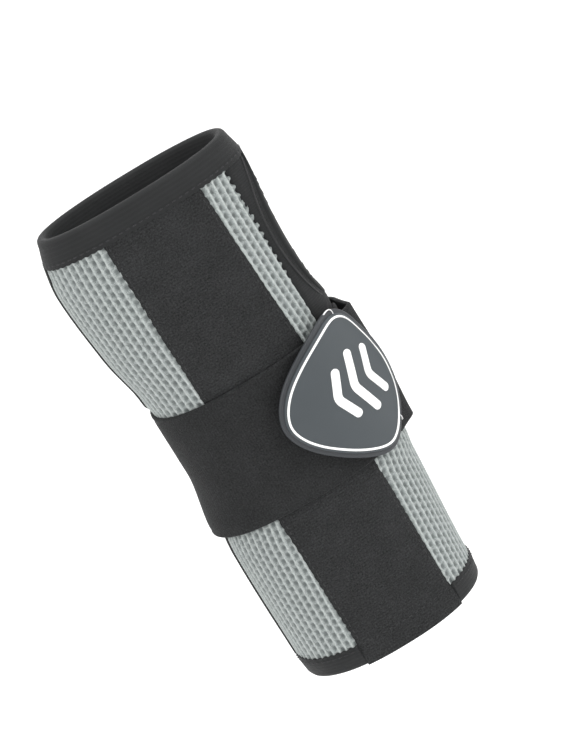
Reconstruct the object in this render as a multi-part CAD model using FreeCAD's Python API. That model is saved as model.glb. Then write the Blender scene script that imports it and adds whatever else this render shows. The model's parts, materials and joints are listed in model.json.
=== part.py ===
import FreeCAD, Part
import math
import os

from FreeCAD import Vector

# Wrist splint for a right hand, in millimetres.
# The arm lies along Z with the fingers up, the palm faces -Y and the thumb is on +X.
# The origin is the middle of the forearm opening, on the plane of its rim.
# The strap opens by hinges about Z; the stay slides out of its pocket along -Z.

# ---------------------------------------------------------------- driving dimensions
SLEEVE_LENGTH = 215.0          # forearm rim to hand rim
WRIST_HEIGHT = 101.5           # forearm rim to the middle of the strap

# width over all layers, depth over all layers, and how far the middle leans to the thumb
FOREARM_WIDTH, FOREARM_DEPTH, FOREARM_LEAN = 81.6, 62.4, -0.7
SWELL_WIDTH, SWELL_DEPTH, SWELL_LEAN = 84.2, 61.4, 0.8
WRIST_WIDTH, WRIST_DEPTH, WRIST_LEAN = 82.4, 58.4, 2.5
HEEL_WIDTH, HEEL_DEPTH, HEEL_LEAN = 89.6, 53.0, -0.1
PALM_WIDTH, PALM_DEPTH, PALM_LEAN = 92.4, 49.6, -1.1
HAND_WIDTH, HAND_DEPTH, HAND_LEAN = 87.0, 47.0, -0.4
SWELL_BELOW_STRAP = 13.0       # where the forearm is widest, under the strap's lower edge
PALM_BELOW_RIM = 25.0          # where the palm is widest, under the hand rim
SQUARENESS = 2.3               # 2 is an ellipse; more flattens the palm and the back

LINING_THICKNESS = 1.2
MESH_THICKNESS = 4.0
BINDING_THICKNESS = 0.8
BINDING_TURN = 1.0             # how far the folded binding stands past the layers' ends
RIM_BINDING_HEIGHT = 10.0
THREAD_PROUD = 0.35
THREAD_WIDTH = 0.8
THREAD_INSET = 1.8             # a row of thread to the edge of the piece it holds

POCKET_ULNAR_TOP, POCKET_ULNAR_BOTTOM = -21.0, -18.0
POCKET_RADIAL_TOP, POCKET_RADIAL_BOTTOM = 22.5, 27.0
POCKET_HEM_HEIGHT = 11.5
THUMB_PANEL_EDGE = 35.0        # the mesh ends and the black thumb panel begins
THUMB_PANEL_UNDER_STRAP = 10.0
THUMB_PANEL_BACK_EDGE = 22.0   # the same panel's edge on the back of the hand
THUMB_HOLE_WIDTH = 26.0
THUMB_HOLE_BACKSET = 3.0       # middle of the hole behind the middle of the hand
THUMB_HOLE_ABOVE_STRAP = 11.0
THUMB_WEB = 2.0                # thumb hole to the hand rim's binding
THUMB_BINDING_WIDTH = 4.0
THUMB_RIDGE_INSET = 5.6        # stitched ridge to the hole's edge
ULNAR_SEAM_BACKSET = -1.0     # this seam runs just in front of the side, so its piping shows
RADIAL_SEAM_BACKSET = 4.0
PIPING_WIDTH = 3.0
PIPING_PROUD = 0.9

STAY_WIDTH = 24.0
STAY_THICKNESS = 1.2
STAY_TIP_COAT = 0.2            # dipped tips stand this far past the plate all round
STAY_TIP_LENGTH = 12.0
STAY_END_RADIUS = 9.0
STAY_CURVE_RADIUS = 95.0
STAY_CLEARANCE = 0.25
STAY_BELOW_HAND_RIM = 21.0
STAY_ABOVE_MOUTH = 4.0
STAY_MIDDLE = 1.0              # how far the stay lies to the thumb side

STRAP_WIDTH = 56.0
STRAP_THICKNESS = 1.8
STRAP_CLEARANCE = 0.6          # free strap to what it lies on
HOOK_THICKNESS = 1.2
HOOK_CLEARANCE = 0.35
STRAP_START_ANGLE = 2.0        # degrees round the wrist from the thumb side, palm negative
DORSAL_HINGE_ANGLE = 152.0
RADIAL_HINGE_ANGLE = 50.0
END_HINGE_ANGLE = 12.0
STRAP_RISE_START, STRAP_RISE_END = 62.0, -24.0
# the stiff tab holds the strap off the thumb side: extra room at even steps of angle
STAND_OFF_START, STAND_OFF_STEP = -30.0, 3.0
STAND_OFFS = [0.0, 0.08, 0.36, 0.88, 1.67, 2.77, 3.38, 2.5, 1.68, 1.06, 0.59, 0.24, 0.04, 0.0]
DORSAL_HINGE_OPENS = 40.0
RADIAL_HINGE_OPENS = 60.0
END_HINGE_OPENS = 110.0

ANCHOR_ROWS = 3                # rows of thread that hold the strap's sewn start
ANCHOR_ROW_ANGLE = 4.0
ANCHOR_MARGIN = 3.0
THREAD_ANGLE = 1.0

TAB_BASE_THICKNESS = 1.8
TAB_FACE_THICKNESS = 1.2
TAB_LINE_PROUD = 0.5
TAB_FACE_INSET = 2.4
TAB_LINE_INSET = 3.3
TAB_LINE_WIDTH = 1.2
TAB_ABOVE_STRAP_MIDDLE = 3.5
TAB_POINT_ANGLE = -91.5        # degrees round the wrist where the tab's point lies
TAB_DIRECTION = 42.0           # degrees between the palm's normal and the tab's middle
TAB_WEBBING_INSET = 4.0        # the strap's cut end lies this far inside the tab's edge
TAB_CORNER_LENGTH = 44.0       # round the wrist from the tab's point to the strap's full width
HOOK_INSET = 6.0
HOOK_END_ANGLE = -36.0

# the tab's outline as it lies flat: along the strap from its point, and up
TAB_OUTLINE = [
    (0.0, 0.5), (4.4, 11.8), (16.0, 21.6), (30.5, 28.4), (40.0, 30.3), (46.8, 27.2), (52.3, 17.3),
    (56.2, 1.0), (53.2, -14.5), (45.5, -24.9), (34.6, -31.2), (24.0, -27.9), (12.8, -19.7),
    (3.4, -9.4),
]
# three chevrons on the tab, which say which way it pulls
CHEVRON_STARTS = (22.0, 30.5, 39.0)
CHEVRON_HALF_HEIGHTS = (11.0, 14.0, 11.0)
CHEVRON_SWEEP = 5.0
CHEVRON_WIDTH = 4.0

# ---------------------------------------------------------------- derived sizes
SHELL = LINING_THICKNESS + MESH_THICKNESS
POCKET_MIDDLE = LINING_THICKNESS + MESH_THICKNESS / 2
STRAP_BOTTOM = WRIST_HEIGHT - STRAP_WIDTH / 2
STRAP_TOP = WRIST_HEIGHT + STRAP_WIDTH / 2
FRONT_Y = -FOREARM_DEPTH / 2
STAY_TOP = SLEEVE_LENGTH - STAY_BELOW_HAND_RIM
THUMB_HOLE_BOTTOM = STRAP_TOP + THUMB_HOLE_ABOVE_STRAP
THUMB_HOLE_TOP = SLEEVE_LENGTH - RIM_BINDING_HEIGHT - THUMB_WEB
FAR = 120.0
ENDS = 12.0                    # cutting bodies run this far past both rims


def stations():
    """Height, width, depth and lean of the sleeve over all layers."""
    palm = SLEEVE_LENGTH - PALM_BELOW_RIM
    heel = (STRAP_TOP + palm) / 2
    inside = 3.0
    return [
        (-ENDS, FOREARM_WIDTH, FOREARM_DEPTH, FOREARM_LEAN),
        (0.0, FOREARM_WIDTH, FOREARM_DEPTH, FOREARM_LEAN),
        (STRAP_BOTTOM - SWELL_BELOW_STRAP, SWELL_WIDTH, SWELL_DEPTH, SWELL_LEAN),
        (STRAP_BOTTOM + inside, WRIST_WIDTH, WRIST_DEPTH, WRIST_LEAN),
        (WRIST_HEIGHT, WRIST_WIDTH, WRIST_DEPTH, WRIST_LEAN),
        (STRAP_TOP - inside, WRIST_WIDTH, WRIST_DEPTH, WRIST_LEAN),
        (heel, HEEL_WIDTH, HEEL_DEPTH, HEEL_LEAN),
        (palm, PALM_WIDTH, PALM_DEPTH, PALM_LEAN),
        (SLEEVE_LENGTH, HAND_WIDTH, HAND_DEPTH, HAND_LEAN),
        (SLEEVE_LENGTH + ENDS, HAND_WIDTH, HAND_DEPTH, HAND_LEAN),
    ]


def radius_at(angle, half_width, half_depth):
    """Distance from the middle of a squarish oval to its edge."""
    across = abs(math.cos(angle)) / half_width
    deep = abs(math.sin(angle)) / half_depth
    return (across ** SQUARENESS + deep ** SQUARENESS) ** (-1.0 / SQUARENESS)


def middle_y(depth):
    """The palm side is straight, so a thinner place has its middle further forward."""
    return FRONT_Y + depth / 2


def section_point(angle, height, width, depth, lean, offset):
    grow = offset - SHELL
    reach = radius_at(angle, width / 2 + grow, depth / 2 + grow)
    return Vector(lean + reach * math.cos(angle), middle_y(depth) + reach * math.sin(angle), height)


def closed_spline(points):
    curve = Part.BSplineCurve()
    curve.interpolate(points, PeriodicFlag=True)
    return Part.Wire(curve.toShape())


SECTION_POINTS = 28
envelope_cache = {}


def envelope(offset):
    """Solid inside the surface that lies this far out from the sleeve's inner face."""
    if offset not in envelope_cache:
        wires = []
        for height, width, depth, lean in stations():
            turns = [2 * math.pi * step / SECTION_POINTS for step in range(SECTION_POINTS)]
            points = [section_point(turn, height, width, depth, lean, offset) for turn in turns]
            wires.append(closed_spline(points))
        envelope_cache[offset] = Part.makeLoft(wires, True, False)
    return envelope_cache[offset]


def slab(low, high):
    return Part.makeBox(2 * FAR, 2 * FAR, high - low, Vector(-FAR, -FAR, low))


def layer(inner, outer, low, high):
    """Ring between two offsets and two heights."""
    ring = envelope(outer).common(slab(low, high))
    return ring.cut(envelope(inner))


def prism(points, direction):
    face = Part.Face(Part.makePolygon(points + [points[0]]))
    return face.extrude(direction)


def in_front_of_seam(backset, low_x, high_x):
    """Everything on the palm side of a seam that follows the middle of the sleeve."""
    line = [Vector(low_x, middle_y(depth) + backset, height) for height, _, depth, _ in stations()]
    corners = [Vector(low_x, -FAR, -ENDS)] + line + [Vector(low_x, -FAR, SLEEVE_LENGTH + ENDS)]
    return prism(corners, Vector(high_x - low_x, 0, 0))


def pocket_zone(inset):
    """Strip of the palm side that the stay pocket takes, less an inset on both sides."""
    top, bottom = SLEEVE_LENGTH + ENDS, -ENDS
    corners = [
        Vector(POCKET_ULNAR_TOP + inset, -FAR, top),
        Vector(POCKET_ULNAR_BOTTOM + inset, -FAR, bottom),
        Vector(POCKET_RADIAL_BOTTOM - inset, -FAR, bottom),
        Vector(POCKET_RADIAL_BOTTOM - inset, -FAR, STRAP_TOP),
        Vector(POCKET_RADIAL_TOP - inset, -FAR, top),
    ]
    return prism(corners, Vector(0, FAR + FRONT_Y / 2, 0))


def thumb_zone():
    bottom = STRAP_TOP - THUMB_PANEL_UNDER_STRAP
    size = SLEEVE_LENGTH + ENDS - bottom
    front = Part.makeBox(FAR, 2 * FAR, size, Vector(THUMB_PANEL_EDGE, -FAR, bottom))
    back = Part.makeBox(FAR, FAR, size, Vector(THUMB_PANEL_BACK_EDGE, middle_y(PALM_DEPTH), bottom))
    return front.fuse(back)


def thumb_hole(grow):
    """Oval bar along X through the thumb side of the sleeve, larger all round by grow."""
    middle_z = (THUMB_HOLE_TOP + THUMB_HOLE_BOTTOM) / 2
    middle = middle_y((HEEL_DEPTH + PALM_DEPTH) / 2) + THUMB_HOLE_BACKSET
    half_y = THUMB_HOLE_WIDTH / 2 + grow
    half_z = (THUMB_HOLE_TOP - THUMB_HOLE_BOTTOM) / 2 + grow
    points = []
    for step in range(SECTION_POINTS):
        turn = 2 * math.pi * step / SECTION_POINTS
        reach = radius_at(turn, half_y, half_z)
        y = middle + reach * math.cos(turn)
        points.append(Vector(0, y, middle_z + reach * math.sin(turn)))
    return Part.Face(closed_spline(points)).extrude(Vector(FAR, 0, 0))


# ---------------------------------------------------------------- stay and its channel
def stay_arc_point(x, lift):
    """Point across the curved plate, lift from its middle surface, outward positive."""
    middle = FRONT_Y + SHELL - POCKET_MIDDLE + STAY_CURVE_RADIUS
    radius = STAY_CURVE_RADIUS + lift
    turn = math.asin(x / STAY_CURVE_RADIUS)
    return Vector(STAY_MIDDLE + radius * math.sin(turn), middle - radius * math.cos(turn), 0)


def stay_bar(width, thickness, low, high):
    half = width / 2
    lift = thickness / 2
    outer = Part.Arc(stay_arc_point(-half, lift), stay_arc_point(0, lift), stay_arc_point(half, lift))
    inner = Part.Arc(stay_arc_point(half, -lift), stay_arc_point(0, -lift), stay_arc_point(-half, -lift))
    right = Part.makeLine(stay_arc_point(half, lift), stay_arc_point(half, -lift))
    left = Part.makeLine(stay_arc_point(-half, -lift), stay_arc_point(-half, lift))
    face = Part.Face(Part.Wire([outer.toShape(), right, inner.toShape(), left]))
    bar = face.extrude(Vector(0, 0, high - low))
    bar.translate(Vector(0, 0, low))
    return bar


def rounded_plan(width, low, high, radius):
    """Upright plate outline with round corners, seen from the palm, as a bar along Y."""
    block = Part.makeBox(width, FAR, high - low, Vector(STAY_MIDDLE - width / 2, FRONT_Y - FAR / 2, low))
    upright = [edge for edge in block.Edges if abs(edge.tangentAt(edge.FirstParameter).y) > 0.9]
    return block.makeFillet(radius, upright)


def build_stay():
    coat = STAY_TIP_COAT
    low, high = STAY_ABOVE_MOUTH, STAY_TOP
    tips = stay_bar(STAY_WIDTH, STAY_THICKNESS + 2 * coat, low, high)
    tips = tips.common(rounded_plan(STAY_WIDTH, low, high, STAY_END_RADIUS))
    plate_width = STAY_WIDTH - 2 * coat
    plate = stay_bar(plate_width, STAY_THICKNESS, low + coat, high - coat)
    plate = plate.common(rounded_plan(plate_width, low + coat, high - coat, STAY_END_RADIUS - coat))
    hollow_tips = tips.cut(plate)
    return {
        "palmar_stay": plate,
        "stay_tip_proximal": hollow_tips.common(slab(low, low + STAY_TIP_LENGTH)),
        "stay_tip_distal": hollow_tips.common(slab(high - STAY_TIP_LENGTH, high)),
    }


def stay_channel():
    width = STAY_WIDTH + 4 * STAY_CLEARANCE
    thickness = STAY_THICKNESS + 2 * STAY_TIP_COAT + 2 * STAY_CLEARANCE
    return stay_bar(width, thickness, -ENDS, STAY_TOP + 2 * STAY_CLEARANCE)


# ---------------------------------------------------------------- sleeve
def build_panels():
    low, high = BINDING_TURN, SLEEVE_LENGTH - BINDING_TURN
    lining = layer(0.0, LINING_THICKNESS, low, high)
    mesh = layer(LINING_THICKNESS, SHELL, low, high)
    ulnar_front = in_front_of_seam(ULNAR_SEAM_BACKSET, -FAR, 0.0)
    ulnar_piping_front = in_front_of_seam(ULNAR_SEAM_BACKSET + PIPING_WIDTH, -FAR, 0.0)
    radial_front = in_front_of_seam(RADIAL_SEAM_BACKSET, 0.0, FAR)
    radial_piping_front = in_front_of_seam(RADIAL_SEAM_BACKSET + PIPING_WIDTH, 0.0, FAR)
    layers_hole = thumb_hole(BINDING_TURN)
    pocket = pocket_zone(0.0)
    channel = stay_channel()
    thumb = thumb_zone()

    lining = lining.cut(layers_hole)
    front = ulnar_front.fuse(radial_front)
    piped_front = ulnar_piping_front.fuse(radial_piping_front)
    back = mesh.cut(piped_front)
    pocket_ring = layer(LINING_THICKNESS, POCKET_MIDDLE, low, high)
    pocket_skin = layer(POCKET_MIDDLE, SHELL, low, high)

    piping = layer(LINING_THICKNESS, SHELL + PIPING_PROUD, RIM_BINDING_HEIGHT,
                   SLEEVE_LENGTH - RIM_BINDING_HEIGHT)
    under_ends = layer(LINING_THICKNESS, SHELL, low, high)
    under_strap = layer(SHELL, SHELL + 2 * PIPING_PROUD, STRAP_BOTTOM - 2, STRAP_TOP + 2)
    piping = piping.fuse(under_ends).cut(under_strap)
    ulnar_piping = piping.common(ulnar_piping_front).cut(ulnar_front)
    radial_piping = piping.common(radial_piping_front).cut(radial_front)
    return {
        "palmar_lining": lining.common(front),
        "dorsal_lining": lining.cut(front),
        "ulnar_mesh_panel": mesh.common(ulnar_front).cut(pocket),
        "radial_mesh_panel": mesh.common(radial_front).cut(pocket).cut(thumb),
        "pocket_backing": pocket_ring.common(pocket).cut(channel),
        "stay_pocket_panel": pocket_skin.common(pocket).cut(channel),
        "thumb_panel": mesh.common(thumb).cut(layers_hole),
        "dorsal_stretch_panel": back.cut(thumb).cut(layers_hole),
        "ulnar_seam_piping": ulnar_piping,
        "radial_seam_piping": radial_piping.cut(thumb),
    }


def build_bindings():
    outer = SHELL + BINDING_THICKNESS
    inner = -BINDING_THICKNESS
    top_start = SLEEVE_LENGTH - RIM_BINDING_HEIGHT
    hem_top = POCKET_HEM_HEIGHT
    channel = stay_channel()
    pocket = pocket_zone(0.0)

    distal = layer(inner, outer, top_start, SLEEVE_LENGTH)
    distal = distal.cut(layer(0.0, SHELL, -ENDS / 2, SLEEVE_LENGTH - BINDING_TURN))

    proximal = layer(inner, outer, 0.0, RIM_BINDING_HEIGHT)
    proximal = proximal.cut(layer(0.0, SHELL, BINDING_TURN, SLEEVE_LENGTH))
    mouth = layer(POCKET_MIDDLE, outer, -ENDS / 2, RIM_BINDING_HEIGHT + 1).common(pocket)
    proximal = proximal.cut(mouth).cut(channel)

    hem = layer(POCKET_MIDDLE, outer, 0.0, hem_top).common(pocket)
    hem = hem.cut(layer(POCKET_MIDDLE, SHELL, BINDING_TURN, SLEEVE_LENGTH)).cut(channel)

    thumb = layer(inner, outer, STRAP_TOP, top_start).common(thumb_hole(THUMB_BINDING_WIDTH))
    shell = layer(0.0, SHELL, STRAP_TOP, SLEEVE_LENGTH).cut(thumb_hole(BINDING_TURN))
    thumb = thumb.cut(thumb_hole(0.0)).cut(shell)
    return {
        "distal_binding": distal,
        "proximal_binding": proximal,
        "pocket_mouth_hem": hem,
        "thumb_binding": thumb,
    }


def build_thread():
    """Rows of lockstitch, each as one raised thread that lies on the cloth."""
    on_binding = SHELL + BINDING_THICKNESS
    top_row = SLEEVE_LENGTH - RIM_BINDING_HEIGHT + THREAD_INSET
    low_row = RIM_BINDING_HEIGHT - THREAD_INSET
    half = THREAD_WIDTH / 2
    proud = THREAD_PROUD
    distal = layer(on_binding, on_binding + proud, top_row - half, top_row + half)
    proximal = layer(on_binding, on_binding + proud, low_row - half, low_row + half)
    proximal = proximal.cut(pocket_zone(0.0))
    hem_row = POCKET_HEM_HEIGHT - THREAD_INSET
    hem = layer(on_binding, on_binding + proud, hem_row - half, hem_row + half)
    hem = hem.common(pocket_zone(THREAD_INSET))

    ridge = layer(SHELL, SHELL + 2 * proud, STRAP_TOP, SLEEVE_LENGTH - RIM_BINDING_HEIGHT)
    ridge = ridge.common(thumb_hole(THUMB_RIDGE_INSET + THREAD_WIDTH))
    ridge = ridge.cut(thumb_hole(THUMB_RIDGE_INSET)).common(thumb_zone())

    seam = layer(SHELL, SHELL + proud, POCKET_HEM_HEIGHT, SLEEVE_LENGTH - RIM_BINDING_HEIGHT)
    seam = seam.common(pocket_zone(THREAD_INSET)).cut(pocket_zone(THREAD_INSET + THREAD_WIDTH))
    seam = seam.cut(slab(STRAP_BOTTOM, STRAP_TOP))
    return {
        "distal_binding_stitching": distal,
        "proximal_binding_stitching": proximal,
        "pocket_hem_stitching": hem,
        "thumb_panel_stitching": ridge,
        "pocket_seam_stitching": seam,
    }


# ---------------------------------------------------------------- strap
def smooth(share):
    share = min(max(share, 0.0), 1.0)
    return share * share * (3 - 2 * share)


def stand_off(angle):
    """Smooth curve through the stand-offs, zero beyond them."""
    place = (angle - STAND_OFF_START) / STAND_OFF_STEP
    first = math.floor(place)
    share = place - first
    near = []
    for index in range(first - 1, first + 3):
        near.append(STAND_OFFS[index] if 0 <= index < len(STAND_OFFS) else 0.0)
    before, low, high, after = near
    bend = 2 * before - 5 * low + 4 * high - after + share * (3 * (low - high) + after - before)
    return low + share / 2 * (high - before + share * bend)


def free_strap_offset(angle):
    """Inner face of the free strap; it climbs over the sewn start on the thumb side."""
    low = SHELL + STRAP_CLEARANCE
    high = SHELL + STRAP_THICKNESS + HOOK_CLEARANCE + HOOK_THICKNESS
    share = (STRAP_RISE_START - angle) / (STRAP_RISE_START - STRAP_RISE_END)
    return low + (high - low) * smooth(share) + stand_off(angle)


def wrist_point(angle, offset):
    return section_point(math.radians(angle), 0.0, WRIST_WIDTH, WRIST_DEPTH, WRIST_LEAN, offset)


def across_strap(angle, offset_rule, lift):
    """Point at lift above the strap's inner face, measured square to the strap."""
    step = 0.25
    ahead = wrist_point(angle + step, offset_rule(angle + step))
    behind = wrist_point(angle - step, offset_rule(angle - step))
    along = ahead.sub(behind)
    along.normalize()
    outward = Vector(along.y, -along.x, 0)
    return wrist_point(angle, offset_rule(angle)).add(outward.multiply(lift))


def hinge_point(angle, offset_rule):
    return across_strap(angle, offset_rule, STRAP_THICKNESS / 2)


def angle_at_distance(angle, offset_rule, distance, direction):
    """Angle of the point on the strap's middle that lies this far from a hinge."""
    pivot = hinge_point(angle, offset_rule)
    near, far = 0.0, 20.0
    for _ in range(40):
        trial = (near + far) / 2
        reach = hinge_point(angle + direction * trial, offset_rule).sub(pivot).Length
        near, far = (trial, far) if reach < distance else (near, trial)
    return angle + direction * near


def hinge_gap(opens):
    """Room that a folded strap needs before it meets the end of the piece it folds over."""
    return STRAP_THICKNESS / 2 / math.sin(math.radians(180 - opens) / 2) + 0.35


def strap_profile(start, end, offset_rule, low_lift, high_lift, round_start):
    """Band between two lifts and two angles; a round start turns about its hinge."""
    count = 3 + int(abs(end - start) / 2)
    turns = [start + (end - start) * step / (count - 1) for step in range(count)]
    outer = [across_strap(turn, offset_rule, high_lift) for turn in turns]
    inner = [across_strap(turn, offset_rule, low_lift) for turn in reversed(turns)]
    outer_curve = Part.BSplineCurve()
    outer_curve.interpolate(outer)
    inner_curve = Part.BSplineCurve()
    inner_curve.interpolate(inner)
    edges = [outer_curve.toShape(), Part.makeLine(outer[-1], inner[0]), inner_curve.toShape()]
    if round_start:
        pivot = hinge_point(start, offset_rule)
        back = pivot.sub(hinge_point(start + (1 if end > start else -1) * 0.5, offset_rule))
        back.normalize()
        nose = pivot.add(back.multiply(STRAP_THICKNESS / 2))
        edges.append(Part.Arc(inner[-1], nose, outer[0]).toShape())
    else:
        edges.append(Part.makeLine(inner[-1], outer[0]))
    return Part.Face(Part.Wire(edges))


def strap_piece(start, end, offset_rule, low_lift, high_lift, round_start, low, high):
    piece = strap_profile(start, end, offset_rule, low_lift, high_lift, round_start)
    piece = piece.extrude(Vector(0, 0, high - low))
    piece.translate(Vector(0, 0, low))
    return piece


def whole_strap(start, end, offset_rule, round_start):
    return strap_piece(start, end, offset_rule, 0.0, STRAP_THICKNESS, round_start,
                       STRAP_BOTTOM, STRAP_TOP)


def wedge(start, end):
    """Slice of everything between two angles round the wrist."""
    middle = Vector(WRIST_LEAN, middle_y(WRIST_DEPTH), -ENDS)
    count = 2 + int((end - start) / 60)
    corners = [middle]
    for step in range(count + 1):
        turn = math.radians(start + (end - start) * step / count)
        corners.append(middle.add(Vector(math.cos(turn), math.sin(turn), 0).multiply(2 * FAR)))
    return prism(corners, Vector(0, 0, SLEEVE_LENGTH + 2 * ENDS))


def build_strap():
    dorsal_gap = hinge_gap(DORSAL_HINGE_OPENS)
    radial_gap = hinge_gap(RADIAL_HINGE_OPENS)
    end_gap = hinge_gap(END_HINGE_OPENS)
    sewn_end = angle_at_distance(DORSAL_HINGE_ANGLE, free_strap_offset, dorsal_gap, 1)
    dorsal_end = angle_at_distance(RADIAL_HINGE_ANGLE, free_strap_offset, radial_gap, 1)
    radial_end = angle_at_distance(END_HINGE_ANGLE, free_strap_offset, end_gap, 1)
    strap_face = SHELL + STRAP_THICKNESS
    front = layer(SHELL, strap_face, STRAP_BOTTOM, STRAP_TOP)
    front = front.cut(wedge(STRAP_START_ANGLE, sewn_end))
    thread = layer(strap_face, strap_face + THREAD_PROUD, STRAP_BOTTOM + ANCHOR_MARGIN,
                   STRAP_TOP - ANCHOR_MARGIN)
    rows = []
    for row in range(ANCHOR_ROWS):
        turn = STRAP_START_ANGLE - ANCHOR_ROW_ANGLE * (row + 1)
        rows.append(thread.common(wedge(turn, turn + THREAD_ANGLE)))
    return {
        "wrist_strap_front": front,
        "strap_anchor_stitching": Part.makeCompound(rows),
        "wrist_strap_dorsal": whole_strap(DORSAL_HINGE_ANGLE, dorsal_end, free_strap_offset, True),
        "wrist_strap_radial": whole_strap(RADIAL_HINGE_ANGLE, radial_end, free_strap_offset, True),
    }


# ---------------------------------------------------------------- strap end with its tab
def angle_table():
    """Pairs of length along the strap's outer face from the tab's point, and angle."""
    step = 0.5
    table = [(0.0, TAB_POINT_ANGLE)]
    last = across_strap(TAB_POINT_ANGLE, free_strap_offset, STRAP_THICKNESS)
    while table[-1][1] < END_HINGE_ANGLE + 20:
        turn = table[-1][1] + step
        place = across_strap(turn, free_strap_offset, STRAP_THICKNESS)
        table.append((table[-1][0] + place.sub(last).Length, turn))
        last = place
    return table


def angle_at_length(length, table):
    for (low, low_turn), (high, high_turn) in zip(table, table[1:]):
        if length <= high:
            return low_turn + (high_turn - low_turn) * (length - low) / (high - low)
    return table[-1][1]


def inset_outline(inset):
    """Tab outline moved inwards, as points along the strap and up."""
    curve = Part.BSplineCurve()
    curve.interpolate([Vector(along, up, 0) for along, up in TAB_OUTLINE], PeriodicFlag=True)
    first, last = curve.FirstParameter, curve.LastParameter
    count = 44
    points = []
    for step in range(count):
        place = first + (last - first) * step / count
        along = curve.tangent(place)[0]
        inward = Vector(along.y, -along.x, 0)
        points.append(curve.value(place).add(inward.multiply(inset)))
    return [(point.x, point.y) for point in points]


def tab_bar(outline, rounded):
    """Bar square to the middle of the tab, whose side follows an outline given on the strap."""
    table = angle_table()
    turn = math.radians(TAB_DIRECTION)
    facing = Vector(math.sin(turn), -math.cos(turn), 0)
    middle = Vector(WRIST_LEAN, middle_y(WRIST_DEPTH), 0)
    start = 8.0
    points = []
    for length, up in outline:
        place = across_strap(angle_at_length(length, table), free_strap_offset, STRAP_THICKNESS)
        depth = place.sub(middle).dot(facing)
        flat = place.sub(Vector(facing).multiply(depth - start))
        points.append(flat.add(Vector(0, 0, WRIST_HEIGHT + TAB_ABOVE_STRAP_MIDDLE + up)))
    wire = closed_spline(points) if rounded else Part.makePolygon(points + [points[0]])
    return Part.Face(wire).extrude(facing.multiply(FAR))


def tab_layer(low_lift, high_lift):
    """Curved plate over the strap's end, high enough to be cut to the tab's outline."""
    reach = STRAP_WIDTH
    turns = (TAB_POINT_ANGLE - 6.0, END_HINGE_ANGLE)
    return strap_piece(turns[0], turns[1], free_strap_offset, low_lift, high_lift, False,
                       WRIST_HEIGHT - reach, WRIST_HEIGHT + reach)


def chevron(start, half_height):
    sweep, width = CHEVRON_SWEEP, CHEVRON_WIDTH
    return [
        (start, 0.0), (start + sweep, half_height), (start + sweep + width, half_height),
        (start + width, 0.0), (start + sweep + width, -half_height), (start + sweep, -half_height),
    ]


def build_strap_end():
    base_top = STRAP_THICKNESS + TAB_BASE_THICKNESS
    face_top = base_top + TAB_FACE_THICKNESS
    line_top = face_top + TAB_LINE_PROUD
    table = angle_table()

    full_outline = tab_bar(inset_outline(0.0), True)
    face_outline = tab_bar(inset_outline(TAB_FACE_INSET), True)
    line_outside = tab_bar(inset_outline(TAB_LINE_INSET), True)
    line_inside = tab_bar(inset_outline(TAB_LINE_INSET + TAB_LINE_WIDTH), True)
    webbing_outline = tab_bar(inset_outline(TAB_WEBBING_INSET), True)
    hook_outline = tab_bar(inset_outline(HOOK_INSET), True)

    full_width_from = angle_at_length(TAB_CORNER_LENGTH, table)
    near = whole_strap(END_HINGE_ANGLE, full_width_from, free_strap_offset, True)
    under_tab = whole_strap(full_width_from, TAB_POINT_ANGLE, free_strap_offset, False)
    webbing = near.fuse(under_tab.common(webbing_outline)).removeSplitter()
    hook = strap_piece(TAB_POINT_ANGLE, HOOK_END_ANGLE, free_strap_offset, -HOOK_THICKNESS, 0.0,
                       False, STRAP_BOTTOM, STRAP_TOP)
    raised = tab_layer(face_top, line_top)
    chevrons = []
    for start, half_height in zip(CHEVRON_STARTS, CHEVRON_HALF_HEIGHTS):
        chevrons.append(raised.common(tab_bar(chevron(start, half_height), False)))
    return {
        "wrist_strap_end": webbing,
        "hook_pad": hook.common(hook_outline),
        "tab_base": tab_layer(STRAP_THICKNESS, base_top).common(full_outline),
        "tab_face": tab_layer(base_top, face_top).common(face_outline),
        "tab_outline": raised.common(line_outside).cut(line_inside),
        "tab_chevrons": Part.makeCompound(chevrons),
    }


# ---------------------------------------------------------------- export
def build():
    nodes = {}
    nodes.update(build_panels())
    nodes.update(build_bindings())
    nodes.update(build_thread())
    nodes.update(build_stay())
    nodes.update(build_strap())
    nodes.update(build_strap_end())
    return nodes


os.makedirs("parts", exist_ok=True)
for name, shape in build().items():
    shape.exportStep("parts/" + name + ".step")
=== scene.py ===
import json
import math

import bmesh
import bpy
import numpy as np
from mathutils import Matrix, Vector


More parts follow.
